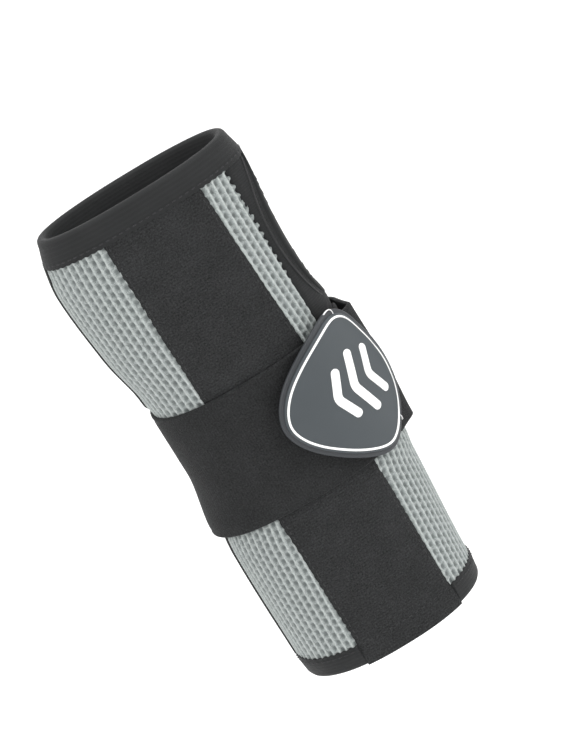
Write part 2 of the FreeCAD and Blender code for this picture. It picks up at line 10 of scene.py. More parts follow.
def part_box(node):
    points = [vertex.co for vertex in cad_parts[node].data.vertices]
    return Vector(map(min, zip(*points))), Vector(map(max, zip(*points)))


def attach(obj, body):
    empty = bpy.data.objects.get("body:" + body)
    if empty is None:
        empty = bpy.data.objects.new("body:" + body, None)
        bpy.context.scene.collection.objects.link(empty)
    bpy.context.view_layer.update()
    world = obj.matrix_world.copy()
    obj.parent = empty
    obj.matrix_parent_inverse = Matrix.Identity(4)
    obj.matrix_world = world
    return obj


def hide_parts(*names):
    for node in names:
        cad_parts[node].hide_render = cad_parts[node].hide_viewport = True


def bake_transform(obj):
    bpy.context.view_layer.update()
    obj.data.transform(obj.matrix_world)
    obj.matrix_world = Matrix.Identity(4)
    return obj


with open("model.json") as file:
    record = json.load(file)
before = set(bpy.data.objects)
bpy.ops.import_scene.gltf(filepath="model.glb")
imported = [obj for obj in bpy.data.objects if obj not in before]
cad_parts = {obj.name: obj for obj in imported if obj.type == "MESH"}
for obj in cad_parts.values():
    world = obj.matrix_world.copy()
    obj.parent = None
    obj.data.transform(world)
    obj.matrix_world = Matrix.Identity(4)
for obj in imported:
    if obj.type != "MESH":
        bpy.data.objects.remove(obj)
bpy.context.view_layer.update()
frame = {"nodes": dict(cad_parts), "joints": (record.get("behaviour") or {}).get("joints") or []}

# Lengths are in millimetres and angles in degrees, until points are made, which are in metres.
# Angles go round the wrist from the thumb side; the palm's middle is at -90.
MM = 0.001
FRONT = -90.0


def top_of(node):
    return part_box(node)[1].z / MM


def bottom_of(node):
    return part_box(node)[0].z / MM


# ------------------------------------------------------------------ sizes from the frame
HAND_RIM = top_of("distal_binding")
HAND_TAPE_EXTRA = 1.5          # the tape comes this much further down the hand end
HAND_BINDING_EDGE = bottom_of("distal_binding") - HAND_TAPE_EXTRA
FOREARM_BINDING_EDGE = top_of("proximal_binding")
HEM_EDGE = top_of("pocket_mouth_hem")
STRAP_LOW = bottom_of("wrist_strap_front")
STRAP_HIGH = top_of("wrist_strap_front")
STRAP_MIDDLE = (STRAP_LOW + STRAP_HIGH) / 2
THUMB_PANEL_LOW = bottom_of("thumb_panel")
THUMB_TAPE_LEG = 4.0
THUMB_HOLE_BELOW_TAPE = 2.0
THUMB_HOLE_LOW = bottom_of("thumb_binding") + THUMB_TAPE_LEG
THUMB_HOLE_HIGH = bottom_of("distal_binding") - THUMB_HOLE_BELOW_TAPE

# ------------------------------------------------------------------ sizes shared with the CAD model
LINING = 1.2
SHELL = 5.2                    # lining and mesh together
POCKET_MIDDLE = 3.2
BINDING = 0.8
FRONT_Y = -31.2
SQUARENESS = 2.3
STRAP_THICK = 1.8
STRAP_CLEAR = 0.6
FREE_STRAP_LOW = SHELL + STRAP_CLEAR
HOOK_THICK = 1.2
LAP_CLEAR = 0.35               # between the hooks and the strap they lie over
FREE_STRAP_HIGH = SHELL + STRAP_THICK + LAP_CLEAR + HOOK_THICK
STRAP_RISE = (62.0, -24.0)
STRAP_START = 2.0
TAB_POINT_TURN = -91.5
TAB_RAISE = 3.5
THUMB_PANEL_FRONT_X = 35.0
THUMB_PANEL_BACK_X = 22.0
THUMB_HOLE_HALF_WIDTH = 13.0
THUMB_HOLE_BACKSET = 3.0
ULNAR_SEAM = -1.0
RADIAL_SEAM = 4.0
PIPING = 3.0
STAND_OFF_START, STAND_OFF_STEP = -30.0, 3.0
STAND_OFFS = [0.0, 0.08, 0.36, 0.88, 1.67, 2.77, 3.38, 2.5, 1.68, 1.06, 0.59, 0.24, 0.04, 0.0]
PAST_RIM = 12.0                # the shape is worked out this far past both rims
WIDEST = HAND_RIM - 25.0
# height, width, depth over all layers, and lean to the thumb side
STATIONS = [
    (-PAST_RIM, 81.6, 62.4, -0.7),
    (0.0, 81.6, 62.4, -0.7),
    (STRAP_LOW - 13.0, 84.2, 61.4, 0.8),
    (STRAP_LOW + 3.0, 82.4, 58.4, 2.5),
    (STRAP_MIDDLE, 82.4, 58.4, 2.5),
    (STRAP_HIGH - 3.0, 82.4, 58.4, 2.5),
    ((STRAP_HIGH + WIDEST) / 2, 88.6, 53.0, 0.4),
    (WIDEST, 91.0, 49.6, -0.4),
    (HAND_RIM, 85.6, 47.0, 0.3),
    (HAND_RIM + PAST_RIM, 85.6, 47.0, 0.3),
]
WRIST = STATIONS[4]

# the spacer mesh
PIT_ACROSS = 3.0
PIT_ALONG = 3.6
PIT_DEPTH = 0.75
PIT_HALF_ACROSS, PIT_HALF_ALONG = 0.34, 0.37    # shares of the pitch
PIT_SQUARENESS = 2.4
RIB_HEIGHT = 0.16
MESH_EDGE_ROLL = 0.5
MESH_STEP = 0.5

# stitches
ROW_INSET = 1.8                # a stitch row's distance from the edge it holds
STITCH_PITCH, STITCH_LENGTH = 2.9, 2.1


# ------------------------------------------------------------------ numbers
def smooth(share):
    share = np.clip(share, 0.0, 1.0)
    return share * share * (3 - 2 * share)


def curve_through(places, values, at):
    """Smooth curve through points, with no overshoot between them."""
    places, values, at = np.array(places), np.array(values), np.asarray(at, float)
    step = np.diff(places)
    rise = np.diff(values) / step
    slope = np.zeros(len(values))
    same_way = rise[:-1] * rise[1:] > 0
    mean = 2 * rise[:-1] * rise[1:] / np.where(same_way, rise[:-1] + rise[1:], 1.0)
    slope[1:-1] = np.where(same_way, mean, 0.0)
    low = np.clip(np.searchsorted(places, at) - 1, 0, len(step) - 1)
    share = (at - places[low]) / step[low]
    square, cube = share ** 2, share ** 3
    return (
        (2 * cube - 3 * square + 1) * values[low]
        + (cube - 2 * square + share) * step[low] * slope[low]
        + (3 * square - 2 * cube) * values[low + 1]
        + (cube - square) * step[low] * slope[low + 1]
    )


def wobble(along, across, size, seed):
    """Soft unevenness of cloth, between -1 and 1, from a few slow waves."""
    draw = np.random.default_rng(seed)
    total = np.zeros(np.broadcast(along, across).shape)
    waves = 6
    for _ in range(waves):
        heading, phase, stretch = draw.uniform(0, math.tau, 3)
        pitch = size * (0.6 + stretch / math.tau)
        turn = (along * math.cos(heading) + across * math.sin(heading)) * math.tau / pitch
        total = total + np.sin(turn + phase)
    return total / waves


# ------------------------------------------------------------------ the sleeve's surface
def section_at(height):
    heights = [row[0] for row in STATIONS]
    return [curve_through(heights, [row[column] for row in STATIONS], height) for column in (1, 2, 3)]


def oval_radius(turn, half_width, half_depth):
    across = np.abs(np.cos(turn)) / half_width
    deep = np.abs(np.sin(turn)) / half_depth
    return (across ** SQUARENESS + deep ** SQUARENESS) ** (-1 / SQUARENESS)


def on_section(turn, height, section, lift):
    """Points on a section, lift millimetres out from the sleeve's inner face."""
    width, depth, lean = section
    angle = np.radians(turn)
    reach = oval_radius(angle, width / 2 + lift - SHELL, depth / 2 + lift - SHELL)
    x = lean + reach * np.cos(angle)
    y = FRONT_Y + depth / 2 + reach * np.sin(angle)
    return np.stack(np.broadcast_arrays(x, y, height), -1) * MM


SQUEEZE = 0.55                 # cloth that bulges above and below the tight strap
SQUEEZE_REACH = 4.5
SQUEEZE_AWAY = 4.5             # from the strap's edge to the top of the bulge


def strap_squeeze(height):
    above = np.exp(-((height - STRAP_HIGH - SQUEEZE_AWAY) / SQUEEZE_REACH) ** 2)
    below = np.exp(-((height - STRAP_LOW + SQUEEZE_AWAY) / SQUEEZE_REACH) ** 2)
    return SQUEEZE * (above + below)


def skin(turn, height, lift):
    height = np.asarray(height, float)
    return on_section(turn, height, section_at(height), lift + strap_squeeze(height))


TURNS = np.arange(-275.0, 275.1, 1.0)


def arc_table(heights):
    """Length round the sleeve at each of TURNS, zero at the middle of the palm."""
    points = skin(TURNS[None, :], heights[:, None], SHELL) / MM
    steps = np.linalg.norm(np.diff(points, axis=1), axis=2)
    lengths = np.concatenate([np.zeros((len(heights), 1)), np.cumsum(steps, 1)], 1)
    middle = np.argmin(np.abs(TURNS - FRONT))
    return points, lengths - lengths[:, middle:middle + 1]


def length_round(turns, height):
    """Length round the sleeve to each turn, at one height."""
    _, lengths = arc_table(np.array([height]))
    return np.interp(turns, TURNS, lengths[0])


def running_length(points):
    """Length along a row of points, from the first."""
    steps = np.linalg.norm(np.diff(points, axis=0), axis=1)
    return np.concatenate([[0.0], np.cumsum(steps)])


def turn_where(heights, value_of, target, low_turn, high_turn):
    """Turn at which a rising quantity meets its target, one for each height."""
    points, _ = arc_table(heights)
    use = (TURNS >= low_turn) & (TURNS <= high_turn)
    found = []
    for row, goal in zip(value_of(points, heights), np.broadcast_to(target, heights.shape)):
        found.append(np.interp(goal, row[use], TURNS[use]))
    return np.array(found)


def side_x(points, heights):
    return points[:, :, 0]


def behind_middle(points, heights):
    depth = section_at(heights)[1]
    return points[:, :, 1] - (FRONT_Y + depth / 2)[:, None]


def palm_line(heights, x):
    """An edge on the palm side at this x."""
    return turn_where(heights, side_x, x, -178.0, -2.0)


def back_line(heights, x):
    """An edge on the back, thumb side, at this x."""
    return turn_where(heights, lambda p, h: -side_x(p, h), -x, 10.0, 90.0)


def ulnar_line(heights, backset):
    return turn_where(heights, lambda p, h: -behind_middle(p, h), -backset, -260.0, -110.0)


def radial_line(heights, backset):
    return turn_where(heights, behind_middle, backset, -60.0, 80.0)


POCKET_ULNAR_LOW, POCKET_ULNAR_HIGH = -18.0, -21.0
POCKET_RADIAL = 27.0
POCKET_TAPER = 4.5             # the thumb side's edge comes in by this above the strap


def pocket_edges(heights):
    """x of the stay pocket's two sides."""
    share = (heights + PAST_RIM) / (HAND_RIM + 2 * PAST_RIM)
    ulnar = POCKET_ULNAR_LOW + (POCKET_ULNAR_HIGH - POCKET_ULNAR_LOW) * share
    taper = POCKET_TAPER * (heights - STRAP_HIGH) / (HAND_RIM + PAST_RIM - STRAP_HIGH)
    return ulnar, POCKET_RADIAL - np.maximum(taper, 0.0)


def hole_edge(count, grow):
    """Points round the thumb hole's edge: heights and distances behind the sleeve's front."""
    angle = np.arange(count) * math.tau / count
    middle = (THUMB_HOLE_LOW + THUMB_HOLE_HIGH) / 2
    half = (THUMB_HOLE_HIGH - THUMB_HOLE_LOW) / 2
    reach = oval_radius(angle, THUMB_HOLE_HALF_WIDTH + grow, half + grow)
    y = hole_middle_y() + reach * np.cos(angle)
    return middle + reach * np.sin(angle), y


def hole_middle_y():
    return FRONT_Y + (STATIONS[6][2] + STATIONS[7][2]) / 4 + THUMB_HOLE_BACKSET


def hole_distance(points):
    """How far a point lies outside the thumb hole, roughly, in millimetres."""
    middle = (THUMB_HOLE_LOW + THUMB_HOLE_HIGH) / 2
    half = (THUMB_HOLE_HIGH - THUMB_HOLE_LOW) / 2
    y = points[..., 1] / MM - hole_middle_y()
    z = points[..., 2] / MM - middle
    angle = np.arctan2(z, y)
    away = np.hypot(y, z) - oval_radius(angle, THUMB_HOLE_HALF_WIDTH, half)
    return np.where(points[..., 0] > 0, away, 1e3)


# ------------------------------------------------------------------ the strap's surface
def stand_off(turn):
    """The stiff tab holds the strap off the thumb side."""
    place = (np.asarray(turn, float) - STAND_OFF_START) / STAND_OFF_STEP
    first = np.floor(place).astype(int)
    share = place - first
    values = np.pad(STAND_OFFS, 4)
    near = [values[np.clip(first + step, -4, len(STAND_OFFS) + 3) + 4] for step in (-1, 0, 1, 2)]
    before, low, high, after = near
    bend = 2 * before - 5 * low + 4 * high - after + share * (3 * (low - high) + after - before)
    return low + share / 2 * (high - before + share * bend)


def free_offset(turn):
    share = (STRAP_RISE[0] - turn) / (STRAP_RISE[0] - STRAP_RISE[1])
    return FREE_STRAP_LOW + (FREE_STRAP_HIGH - FREE_STRAP_LOW) * smooth(share) + stand_off(turn)


ULNAR_FLARE = 4.0              # the strap's lower edge stands away on the little finger's side
FLARE_TURN, FLARE_SPREAD = 184.0, 34.0
THUMB_PULL_HIGH, THUMB_PULL_LOW = 0.7, 1.6
PULL_TURN, PULL_SPREAD = -4.0, 17.0
EDGE_RAISE = 2.4               # and its lower edge is drawn up where the tab pulls it
RAISE_TURN, RAISE_SPREAD = -8.0, 34.0


def near_turn(turn, middle, spread):
    """1 at a turn round the wrist, fading away on both sides of it."""
    away = np.mod(turn - middle + 180.0, 360.0) - 180.0
    return np.exp(-(away / spread) ** 2)


def strap_edges(turn, height, free):
    """How the strap's edges lie away from the even band: outwards, and up where it is free."""
    middle, half = STRAP_MIDDLE, (STRAP_HIGH - STRAP_LOW) / 2
    low = smooth((middle - height) / half)
    high = smooth((height - middle) / half)
    flare = ULNAR_FLARE * low * near_turn(turn, FLARE_TURN, FLARE_SPREAD)
    pull = (THUMB_PULL_HIGH * high + THUMB_PULL_LOW * low) * near_turn(turn, PULL_TURN, PULL_SPREAD)
    raised = EDGE_RAISE * low * near_turn(turn, RAISE_TURN, RAISE_SPREAD)
    return flare - pull * free, raised * free


SEWN_LIFT_TURN, SEWN_LIFT_SPREAD = -178.0, 28.0


def sewn_offset(turn):
    """The sewn strap rests on the sleeve and lifts to meet the free strap past the ulnar side."""
    return SHELL + STRAP_CLEAR * smooth((SEWN_LIFT_TURN - turn) / SEWN_LIFT_SPREAD)


def on_strap(turn, height, offset_of, lift):
    """Points lift millimetres out from the strap's inner face, square to the strap."""
    turn, height = np.asarray(turn, float), np.asarray(height, float)
    nudge = 0.25
    section = WRIST[1:]
    here = on_section(turn, height, section, offset_of(turn))
    ahead = on_section(turn + nudge, height, section, offset_of(turn + nudge))
    behind = on_section(turn - nudge, height, section, offset_of(turn - nudge))
    along = (ahead - behind)[..., :2]
    along = along / np.linalg.norm(along, axis=-1, keepdims=True)
    outward = np.stack([along[..., 1], -along[..., 0], np.zeros(along.shape[:-1])], -1)
    return here + outward * (np.asarray(lift, float) * MM)[..., None]


def strap_lengths(offset_of, first_turn, last_turn):
    """Turns along the strap and the length of its outer face from the first."""
    turns = np.linspace(first_turn, last_turn, 400)
    return turns, running_length(on_strap(turns, STRAP_MIDDLE, offset_of, STRAP_THICK) / MM)


TAB_TURNS, TAB_LENGTHS = strap_lengths(free_offset, TAB_POINT_TURN - 10, 30.0)
TAB_LENGTHS = TAB_LENGTHS - np.interp(TAB_POINT_TURN, TAB_TURNS, TAB_LENGTHS)


def on_tab(along, up, lift):
    """Points over the strap's end, from the tab's point and its middle height."""
    turn = np.interp(along, TAB_LENGTHS, TAB_TURNS)
    return on_strap(turn, STRAP_MIDDLE + TAB_RAISE + up, free_offset, lift)


# ------------------------------------------------------------------ meshes
def cloth_map(across, along):
    """Places on the flat cloth, from lengths round and along."""
    return np.stack(np.broadcast_arrays(across, along), -1)


def new_piece(name, points, faces, cloth, marks=None, sharp=50.0):
    mesh = bpy.data.meshes.new(name)
    mesh.from_pydata(np.asarray(points).reshape(-1, 3).tolist(), [], [list(face) for face in faces])
    layer = mesh.uv_layers.new(name="cloth")
    corners = np.empty(len(mesh.loops), int)
    mesh.loops.foreach_get("vertex_index", corners)
    flat = np.asarray(cloth, float).reshape(-1, 2)[corners]
    layer.data.foreach_set("uv", flat.astype(np.float32).ravel())
    for mark, values in (marks or {}).items():
        field = mesh.attributes.new(mark, "FLOAT", "POINT")
        field.data.foreach_set("value", np.asarray(values, np.float32).ravel())
    mesh.update()
    mesh.polygons.foreach_set("use_smooth", [True] * len(mesh.polygons))
    mesh.set_sharp_from_angle(angle=math.radians(sharp))
    piece = bpy.data.objects.new(name, mesh)
    bpy.context.scene.collection.objects.link(piece)
    return piece


def shell(name, outer, inner, cloth, keep=None, marks=None):
    """Closed shell from two grids of points; keep says which cells there are."""
    rows, columns = outer.shape[:2]
    if keep is None:
        keep = np.ones((rows - 1, columns - 1), bool)
    number = np.arange(rows * columns).reshape(rows, columns)
    lower = number + rows * columns
    a, b = number[:-1, :-1][keep], number[:-1, 1:][keep]
    c, d = number[1:, 1:][keep], number[1:, :-1][keep]
    faces = [np.stack([a, b, c, d], 1)]
    a2, b2 = lower[:-1, :-1][keep], lower[:-1, 1:][keep]
    c2, d2 = lower[1:, 1:][keep], lower[1:, :-1][keep]
    faces.append(np.stack([d2, c2, b2, a2], 1))
    padded = np.pad(keep, 1)
    inside = padded[1:-1, 1:-1]
    sides = [
        (inside & ~padded[:-2, 1:-1], (0, 0), (0, 1)),
        (inside & ~padded[2:, 1:-1], (1, 1), (1, 0)),
        (inside & ~padded[1:-1, :-2], (1, 0), (0, 0)),
        (inside & ~padded[1:-1, 2:], (0, 1), (1, 1)),
    ]
    for edge, first, second in sides:
        row, column = np.nonzero(edge)
        p = number[row + first[0], column + first[1]]
        q = number[row + second[0], column + second[1]]
        faces.append(np.stack([q, p, p + rows * columns, q + rows * columns], 1))
    faces = np.concatenate(faces)
    used, renumbered = np.unique(faces, return_inverse=True)
    points = np.concatenate([outer.reshape(-1, 3), inner.reshape(-1, 3)])[used]
    flat = np.concatenate([cloth.reshape(-1, 2)] * 2)[used]
    fields = {}
    for mark, values in (marks or {}).items():
        fields[mark] = np.concatenate([values.ravel(), np.zeros(values.size)])[used]
    return new_piece(name, points, renumbered.reshape(-1, 4), flat, fields)


def sweep(name, loops, cloth, closed):
    """Skin over a row of closed loops; an open row has its ends capped."""
    rows, around = loops.shape[:2]
    number = np.arange(rows * around).reshape(rows, around)
    following = np.roll(number, -1, 0) if closed else number[1:]
    current = number if closed else number[:-1]
    faces = np.stack([
        current, np.roll(current, -1, 1), np.roll(following, -1, 1), following
    ], 2).reshape(-1, 4).tolist()
    if not closed:
        faces.append(number[0][::-1].tolist())
        faces.append(number[-1].tolist())
    return new_piece(name, loops, faces, cloth)


def join(pieces, name):
    """One piece from several that are sewn together."""
    bpy.ops.object.select_all(action="DESELECT")
    for piece in pieces:
        piece.select_set(True)
    bpy.context.view_layer.objects.active = pieces[0]
    bpy.ops.object.join()
    pieces[0].name = name
    pieces[0].data.name = name
    return pieces[0]


def face_out(piece):
    """Makes every face's front the outside."""
    work = bmesh.new()
    work.from_mesh(piece.data)
    bmesh.ops.recalc_face_normals(work, faces=work.faces)
    work.to_mesh(piece.data)
    work.free()
    return piece


# ------------------------------------------------------------------ sleeve cloth
def panel_grid(low, high, left_of, right_of, step):
    """Turns, heights and lengths round the sleeve of a panel between two edges."""
    heights = np.linspace(low, high, 2 + int((high - low) / step))
    _, lengths = arc_table(heights)
    left = np.array([np.interp(t, TURNS, row) for t, row in zip(left_of(heights), lengths)])
    right = np.array([np.interp(t, TURNS, row) for t, row in zip(right_of(heights), lengths)])
    columns = 2 + int(np.max(right - left) / step)
    share = np.linspace(0, 1, columns)[None, :]
    across = left[:, None] + (right - left)[:, None] * share
    turn = np.array([np.interp(row, table, TURNS) for row, table in zip(across, lengths)])
    return turn, np.broadcast_to(heights[:, None], turn.shape), across, left, right


def pits(across, along):
    """How deep in a pit each point of the mesh lies, and how high on a rib."""
    column = np.round(across / PIT_ACROSS)
    aside = across / PIT_ACROSS - column
    row = along / PIT_ALONG + 0.5 * np.mod(column, 2)
    beyond = row - np.round(row)
    across_share = (np.abs(aside) / PIT_HALF_ACROSS) ** PIT_SQUARENESS
    along_share = (np.abs(beyond) / PIT_HALF_ALONG) ** PIT_SQUARENESS
    away = (across_share + along_share) ** (1 / PIT_SQUARENESS)
    pit = smooth((1.25 - away) / 0.8)
    rib = smooth((np.abs(aside) - 0.30) / 0.16)
    return pit, rib


def mesh_patch(name, low, high, left_of, right_of):
    """Spacer mesh: pits in the outer face, and a scalloped edge where ribs end."""
    turn, height, across, left, right = panel_grid(low, high, left_of, right_of, MESH_STEP)
    pit, rib = pits(across, height)
    knit = 0.06 * np.sin(across * math.tau / 0.75) * np.sin(height * math.tau / 0.9)
    edge = np.minimum(across - left[:, None], right[:, None] - across)
    rolled = smooth(edge / 0.9)
    lift = SHELL + RIB_HEIGHT * rib - PIT_DEPTH * pit + knit - MESH_EDGE_ROLL * (1 - rolled)
    lift = lift + 0.12 * wobble(across, height, 40.0, 3)
    outer = skin(turn, height, lift)
    inner = skin(turn, height, LINING + 0.1)
    cloth = np.stack([across, height], -1)
    return shell(name, outer, inner, cloth, marks={"pit": pit, "rib": rib})


def plain_patch(name, low, high, left_of, right_of, step=1.2, low_lift=LINING + 0.1, lift=SHELL,
                roll=1.0, roll_depth=0.7, hole_margin=None, uneven=0.15, mouth=0.0, seed=1):
    """A cloth panel with rolled edges, a slack mouth at its foot and room for the thumb."""
    turn, height, across, left, right = panel_grid(low, high, left_of, right_of, step)
    edge = np.minimum(across - left[:, None], right[:, None] - across)
    top = lift - roll_depth * (1 - smooth(edge / roll)) + uneven * wobble(across, height, 26.0, seed)
    outer = skin(turn, height, top)
    inner = skin(turn, height, low_lift + mouth * smooth((14.0 - height) / 6.0))
    keep = None
    if hole_margin is not None:
        middle = (outer[:-1, :-1] + outer[1:, 1:]) / 2
        keep = hole_distance(middle) > hole_margin
    return shell(name, outer, inner, np.stack([across, height], -1), keep)


def scalloped(line, toward):
    """An edge line with small bulges, where ribs of the mesh end on the next panel."""
    def edge(heights):
        bulge = np.abs(np.sin(heights * math.pi / SCALLOP_PITCH))
        return line(heights) + toward * SCALLOP_REACH * bulge
    return edge


def ulnar_pocket_line(heights):
    return palm_line(heights, pocket_edges(heights)[0])


def radial_pocket_line(heights):
    return palm_line(heights, pocket_edges(heights)[1])


def thumb_front_line(heights):
    return palm_line(heights, THUMB_PANEL_FRONT_X)


def thumb_back_line(heights):
    return back_line(heights, THUMB_PANEL_BACK_X)


def seam_line(line, backset, onward=0.0):
    """An edge line with its backset; onward takes it past the back, to close the ring."""
    return lambda heights: line(heights, backset) + onward


def pocket_turns(height):
    """Turns of the stay pocket's two sides at one height."""
    at = np.array([height])
    return ulnar_pocket_line(at)[0], radial_pocket_line(at)[0]


SCALLOP_PITCH = 4.4
SCALLOP_REACH = 0.85
INSIDE_BINDING = 2.0
UNDER_STRAP = 6.0              # how far the parted mesh runs in under the strap


def build_mesh_panels():
    low, high = FOREARM_BINDING_EDGE - INSIDE_BINDING, HAND_BINDING_EDGE + INSIDE_BINDING
    ulnar = mesh_patch(
        "ulnar_mesh", low, high,
        seam_line(ulnar_line, ULNAR_SEAM), scalloped(ulnar_pocket_line, 1),
    )
    upper = mesh_patch(
        "radial_mesh_upper", STRAP_HIGH - UNDER_STRAP, high,
        scalloped(radial_pocket_line, -1), scalloped(thumb_front_line, 1),
    )
    lower = mesh_patch(
        "radial_mesh_lower", low, STRAP_LOW + UNDER_STRAP,
        scalloped(radial_pocket_line, -1), seam_line(radial_line, RADIAL_SEAM),
    )
    radial = join([lower, upper], "radial_mesh")
    return ulnar, radial


def build_black_panels():
    low, high = FOREARM_BINDING_EDGE - INSIDE_BINDING, HAND_BINDING_EDGE + INSIDE_BINDING
    pocket = plain_patch(
        "pocket_panel", 0.7, high, ulnar_pocket_line, radial_pocket_line,
        low_lift=POCKET_MIDDLE + 1.15, lift=SHELL + 0.1, roll=1.9, roll_depth=0.75, mouth=0.55, seed=5,
    )
    backing = plain_patch(
        "pocket_backing_cloth", low, high, ulnar_pocket_line, radial_pocket_line,
        lift=POCKET_MIDDLE - 1.15, uneven=0.0,
    )
    thumb = plain_patch(
        "thumb_panel_cloth", THUMB_PANEL_LOW, high, thumb_front_line, thumb_back_line,
        step=1.0, roll=1.5, roll_depth=0.7, hole_margin=1.4, seed=7,
    )
    split = THUMB_PANEL_LOW + 1.0
    back_seam = seam_line(ulnar_line, ULNAR_SEAM + PIPING, 360.0)
    back_low = plain_patch(
        "back_low", low, split, seam_line(radial_line, RADIAL_SEAM + PIPING), back_seam, seed=9,
    )
    back_high = plain_patch(
        "back_high", split - 0.5, high, thumb_back_line, back_seam, hole_margin=1.4, seed=9,
    )
    back = join([back_low, back_high], "dorsal_cloth")
    return pocket, backing, thumb, back


def build_linings():
    """The two halves of the lining, which end under the tape at both rims."""
    radial_seam = seam_line(radial_line, RADIAL_SEAM)
    halves = (
        ("palmar_lining_cloth", seam_line(ulnar_line, ULNAR_SEAM), radial_seam),
        ("dorsal_lining_cloth", radial_seam, seam_line(ulnar_line, ULNAR_SEAM, 360.0)),
    )
    return [plain_patch(
        name, 1.0, HAND_RIM - 5.0, left, right,
        step=1.3, low_lift=0.0, lift=LINING, roll_depth=0.0, hole_margin=1.2, uneven=0.0,
    ) for name, left, right in halves]


# ------------------------------------------------------------------ bindings, hem and piping
TAPE_ROUND_OUT, TAPE_ROUND_IN = 1.6, 1.2
MOUTH_HEIGHT = 5.0             # where the pocket's width at its mouth is taken


def folded_tape(rim, inward, outer_leg, inner_leg, low_lift, high_lift, thick):
    """Cross-section of tape folded over a rim: heights and lifts, going round the section.

    inward is the way from the rim to the cloth, +1 or -1 along Z.
    """
    bend = 6
    outer, inner = [], []
    middle, half = (low_lift + high_lift) / 2, (high_lift - low_lift) / 2
    for step in range(bend + 1):
        angle = math.pi / 2 - math.pi * step / bend
        rise = math.cos(angle)
        outer.append((TAPE_ROUND_OUT * (1 - rise), middle + half * math.sin(angle)))
        inner.append((thick + TAPE_ROUND_IN * (1 - rise), middle + (half - thick) * math.sin(angle)))
    leg_out = [(outer_leg * share, high_lift) for share in (1.0, 0.93, 0.85, 0.7, 0.5, 0.3)]
    leg_in = [(inner_leg * share, low_lift) for share in (0.3, 0.6, 0.9, 1.0)]
    under_in = [(inner_leg * share, low_lift + thick) for share in (1.0, 0.6)]
    under_out = [(outer_leg * share, high_lift - thick) for share in (0.5, 0.8, 1.0)]
    section = leg_out + outer + leg_in + under_in + inner[::-1] + under_out
    heights = np.array([rim + inward * away for away, _ in section])
    return heights, np.array([lift for _, lift in section])


def inside_pocket(turns):
    """1 where a turn lies behind the stay pocket's panel, else 0."""
    soft = 0.6
    left, right = pocket_turns(MOUTH_HEIGHT)
    return smooth((turns - left) / soft) * smooth((right - turns) / soft)


def ring_binding(name, rim, inward, leg, pinch, mouth, seed):
    """Tape folded over a rim; pinch is how thick the layers are pressed there.

    Where there is a mouth the tape only goes round the layers behind the stay pocket.
    """
    turns = np.arange(-270.0, 90.0, 1.0)
    if mouth:
        edges = pocket_turns(MOUTH_HEIGHT)
        near = [edge + step for edge in edges for step in (-0.6, -0.3, 0.0, 0.3, 0.6)]
        turns = np.unique(np.concatenate([turns, near]))
    heights, lifts = folded_tape(rim, inward, leg, leg - 1.0, -BINDING, SHELL + BINDING, BINDING)
    around = length_round(turns, rim + inward * leg)
    wave = 0.22 * np.cos(around * math.tau / PIT_ACROSS)
    away = np.abs(heights - rim)
    edge = smooth((away - 0.8 * leg) / (0.2 * leg))
    height = heights[None, :] + inward * (wave[:, None] * edge[None, :])
    stitch = np.exp(-((away - leg + ROW_INSET) / 1.1) ** 2) * (lifts > SHELL)
    pull = 0.1 * (1 - 0.5 * np.cos(around * math.tau / STITCH_PITCH))
    middle = SHELL / 2
    pressed = middle + (lifts - middle) * (pinch + (1 - pinch) * smooth(away / (0.85 * leg)))
    lift = pressed[None, :] - pull[:, None] * stitch[None, :]
    lift = lift + 0.10 * wobble(around[:, None], away[None, :], 14.0, seed)
    tuck = smooth((away - 0.9 * leg) / (0.1 * leg)) * (lifts > SHELL)
    lift = lift - 0.3 * tuck[None, :]
    if mouth:
        behind = POCKET_MIDDLE - 1.25
        squashed = -BINDING + (lift + BINDING) * (behind + BINDING) / (SHELL + 2 * BINDING)
        lift = lift + (squashed - lift) * inside_pocket(turns)[:, None]
    loops = skin(turns[:, None], height, lift)
    return face_out(sweep(name, loops, cloth_map(around[:, None], height + lift * 0.5), True))


def build_thumb_binding():
    """Tape folded over the thumb hole's edge; its legs lie on the outer and the inner face."""
    count, leg, skim, middle = 260, 4.2, 0.05, SHELL / 2
    section = []
    for share in (1.0, 0.9, 0.75, 0.5, 0.25):
        section.append((leg * share, SHELL + BINDING - 0.25 * (share > 0.95)))
    for step in range(9):
        angle = math.pi / 2 - math.pi * step / 8
        section.append((0.9 - 0.9 * math.cos(angle), middle + (middle + BINDING) * math.sin(angle)))
    section += [(leg * share, -BINDING) for share in (0.3, 0.6, 1.0)]
    section += [(leg * share, -skim) for share in (1.0, 0.4)]
    for step in range(7):
        angle = -math.pi / 2 + math.pi * step / 6
        section.append((2.0 - 1.1 * math.cos(angle), middle + (middle + skim) * math.sin(angle)))
    section.append((leg, SHELL + skim))
    loops = []
    for grow, lift in section:
        pinch = 0.7 + 0.3 * smooth(grow / 4.0)
        lift = middle + (lift - middle) * pinch
        z, y = hole_edge(count, grow)
        loops.append(side_points(y, np.minimum(z, HAND_BINDING_EDGE + 1.0), lift))
    loops = np.stack(loops, 1)
    around = np.arange(count) * 170.0 / count
    reaches = np.array([reach for reach, _ in section])
    cloth = cloth_map(around[:, None], reaches[None, :])
    return face_out(sweep("thumb_hole_binding", loops, cloth, True))


def side_points(y, z, lift):
    """Points of the thumb side at given depths and heights."""
    section = section_at(z)
    width, depth, lean = section
    half_width, half_depth = width / 2 + lift - SHELL, depth / 2 + lift - SHELL
    off = np.clip(np.abs(y - (FRONT_Y + depth / 2)) / half_depth, 0, 0.999)
    x = lean + half_width * (1 - off ** SQUARENESS) ** (1 / SQUARENESS)
    return np.stack([x, y, z], -1) * MM


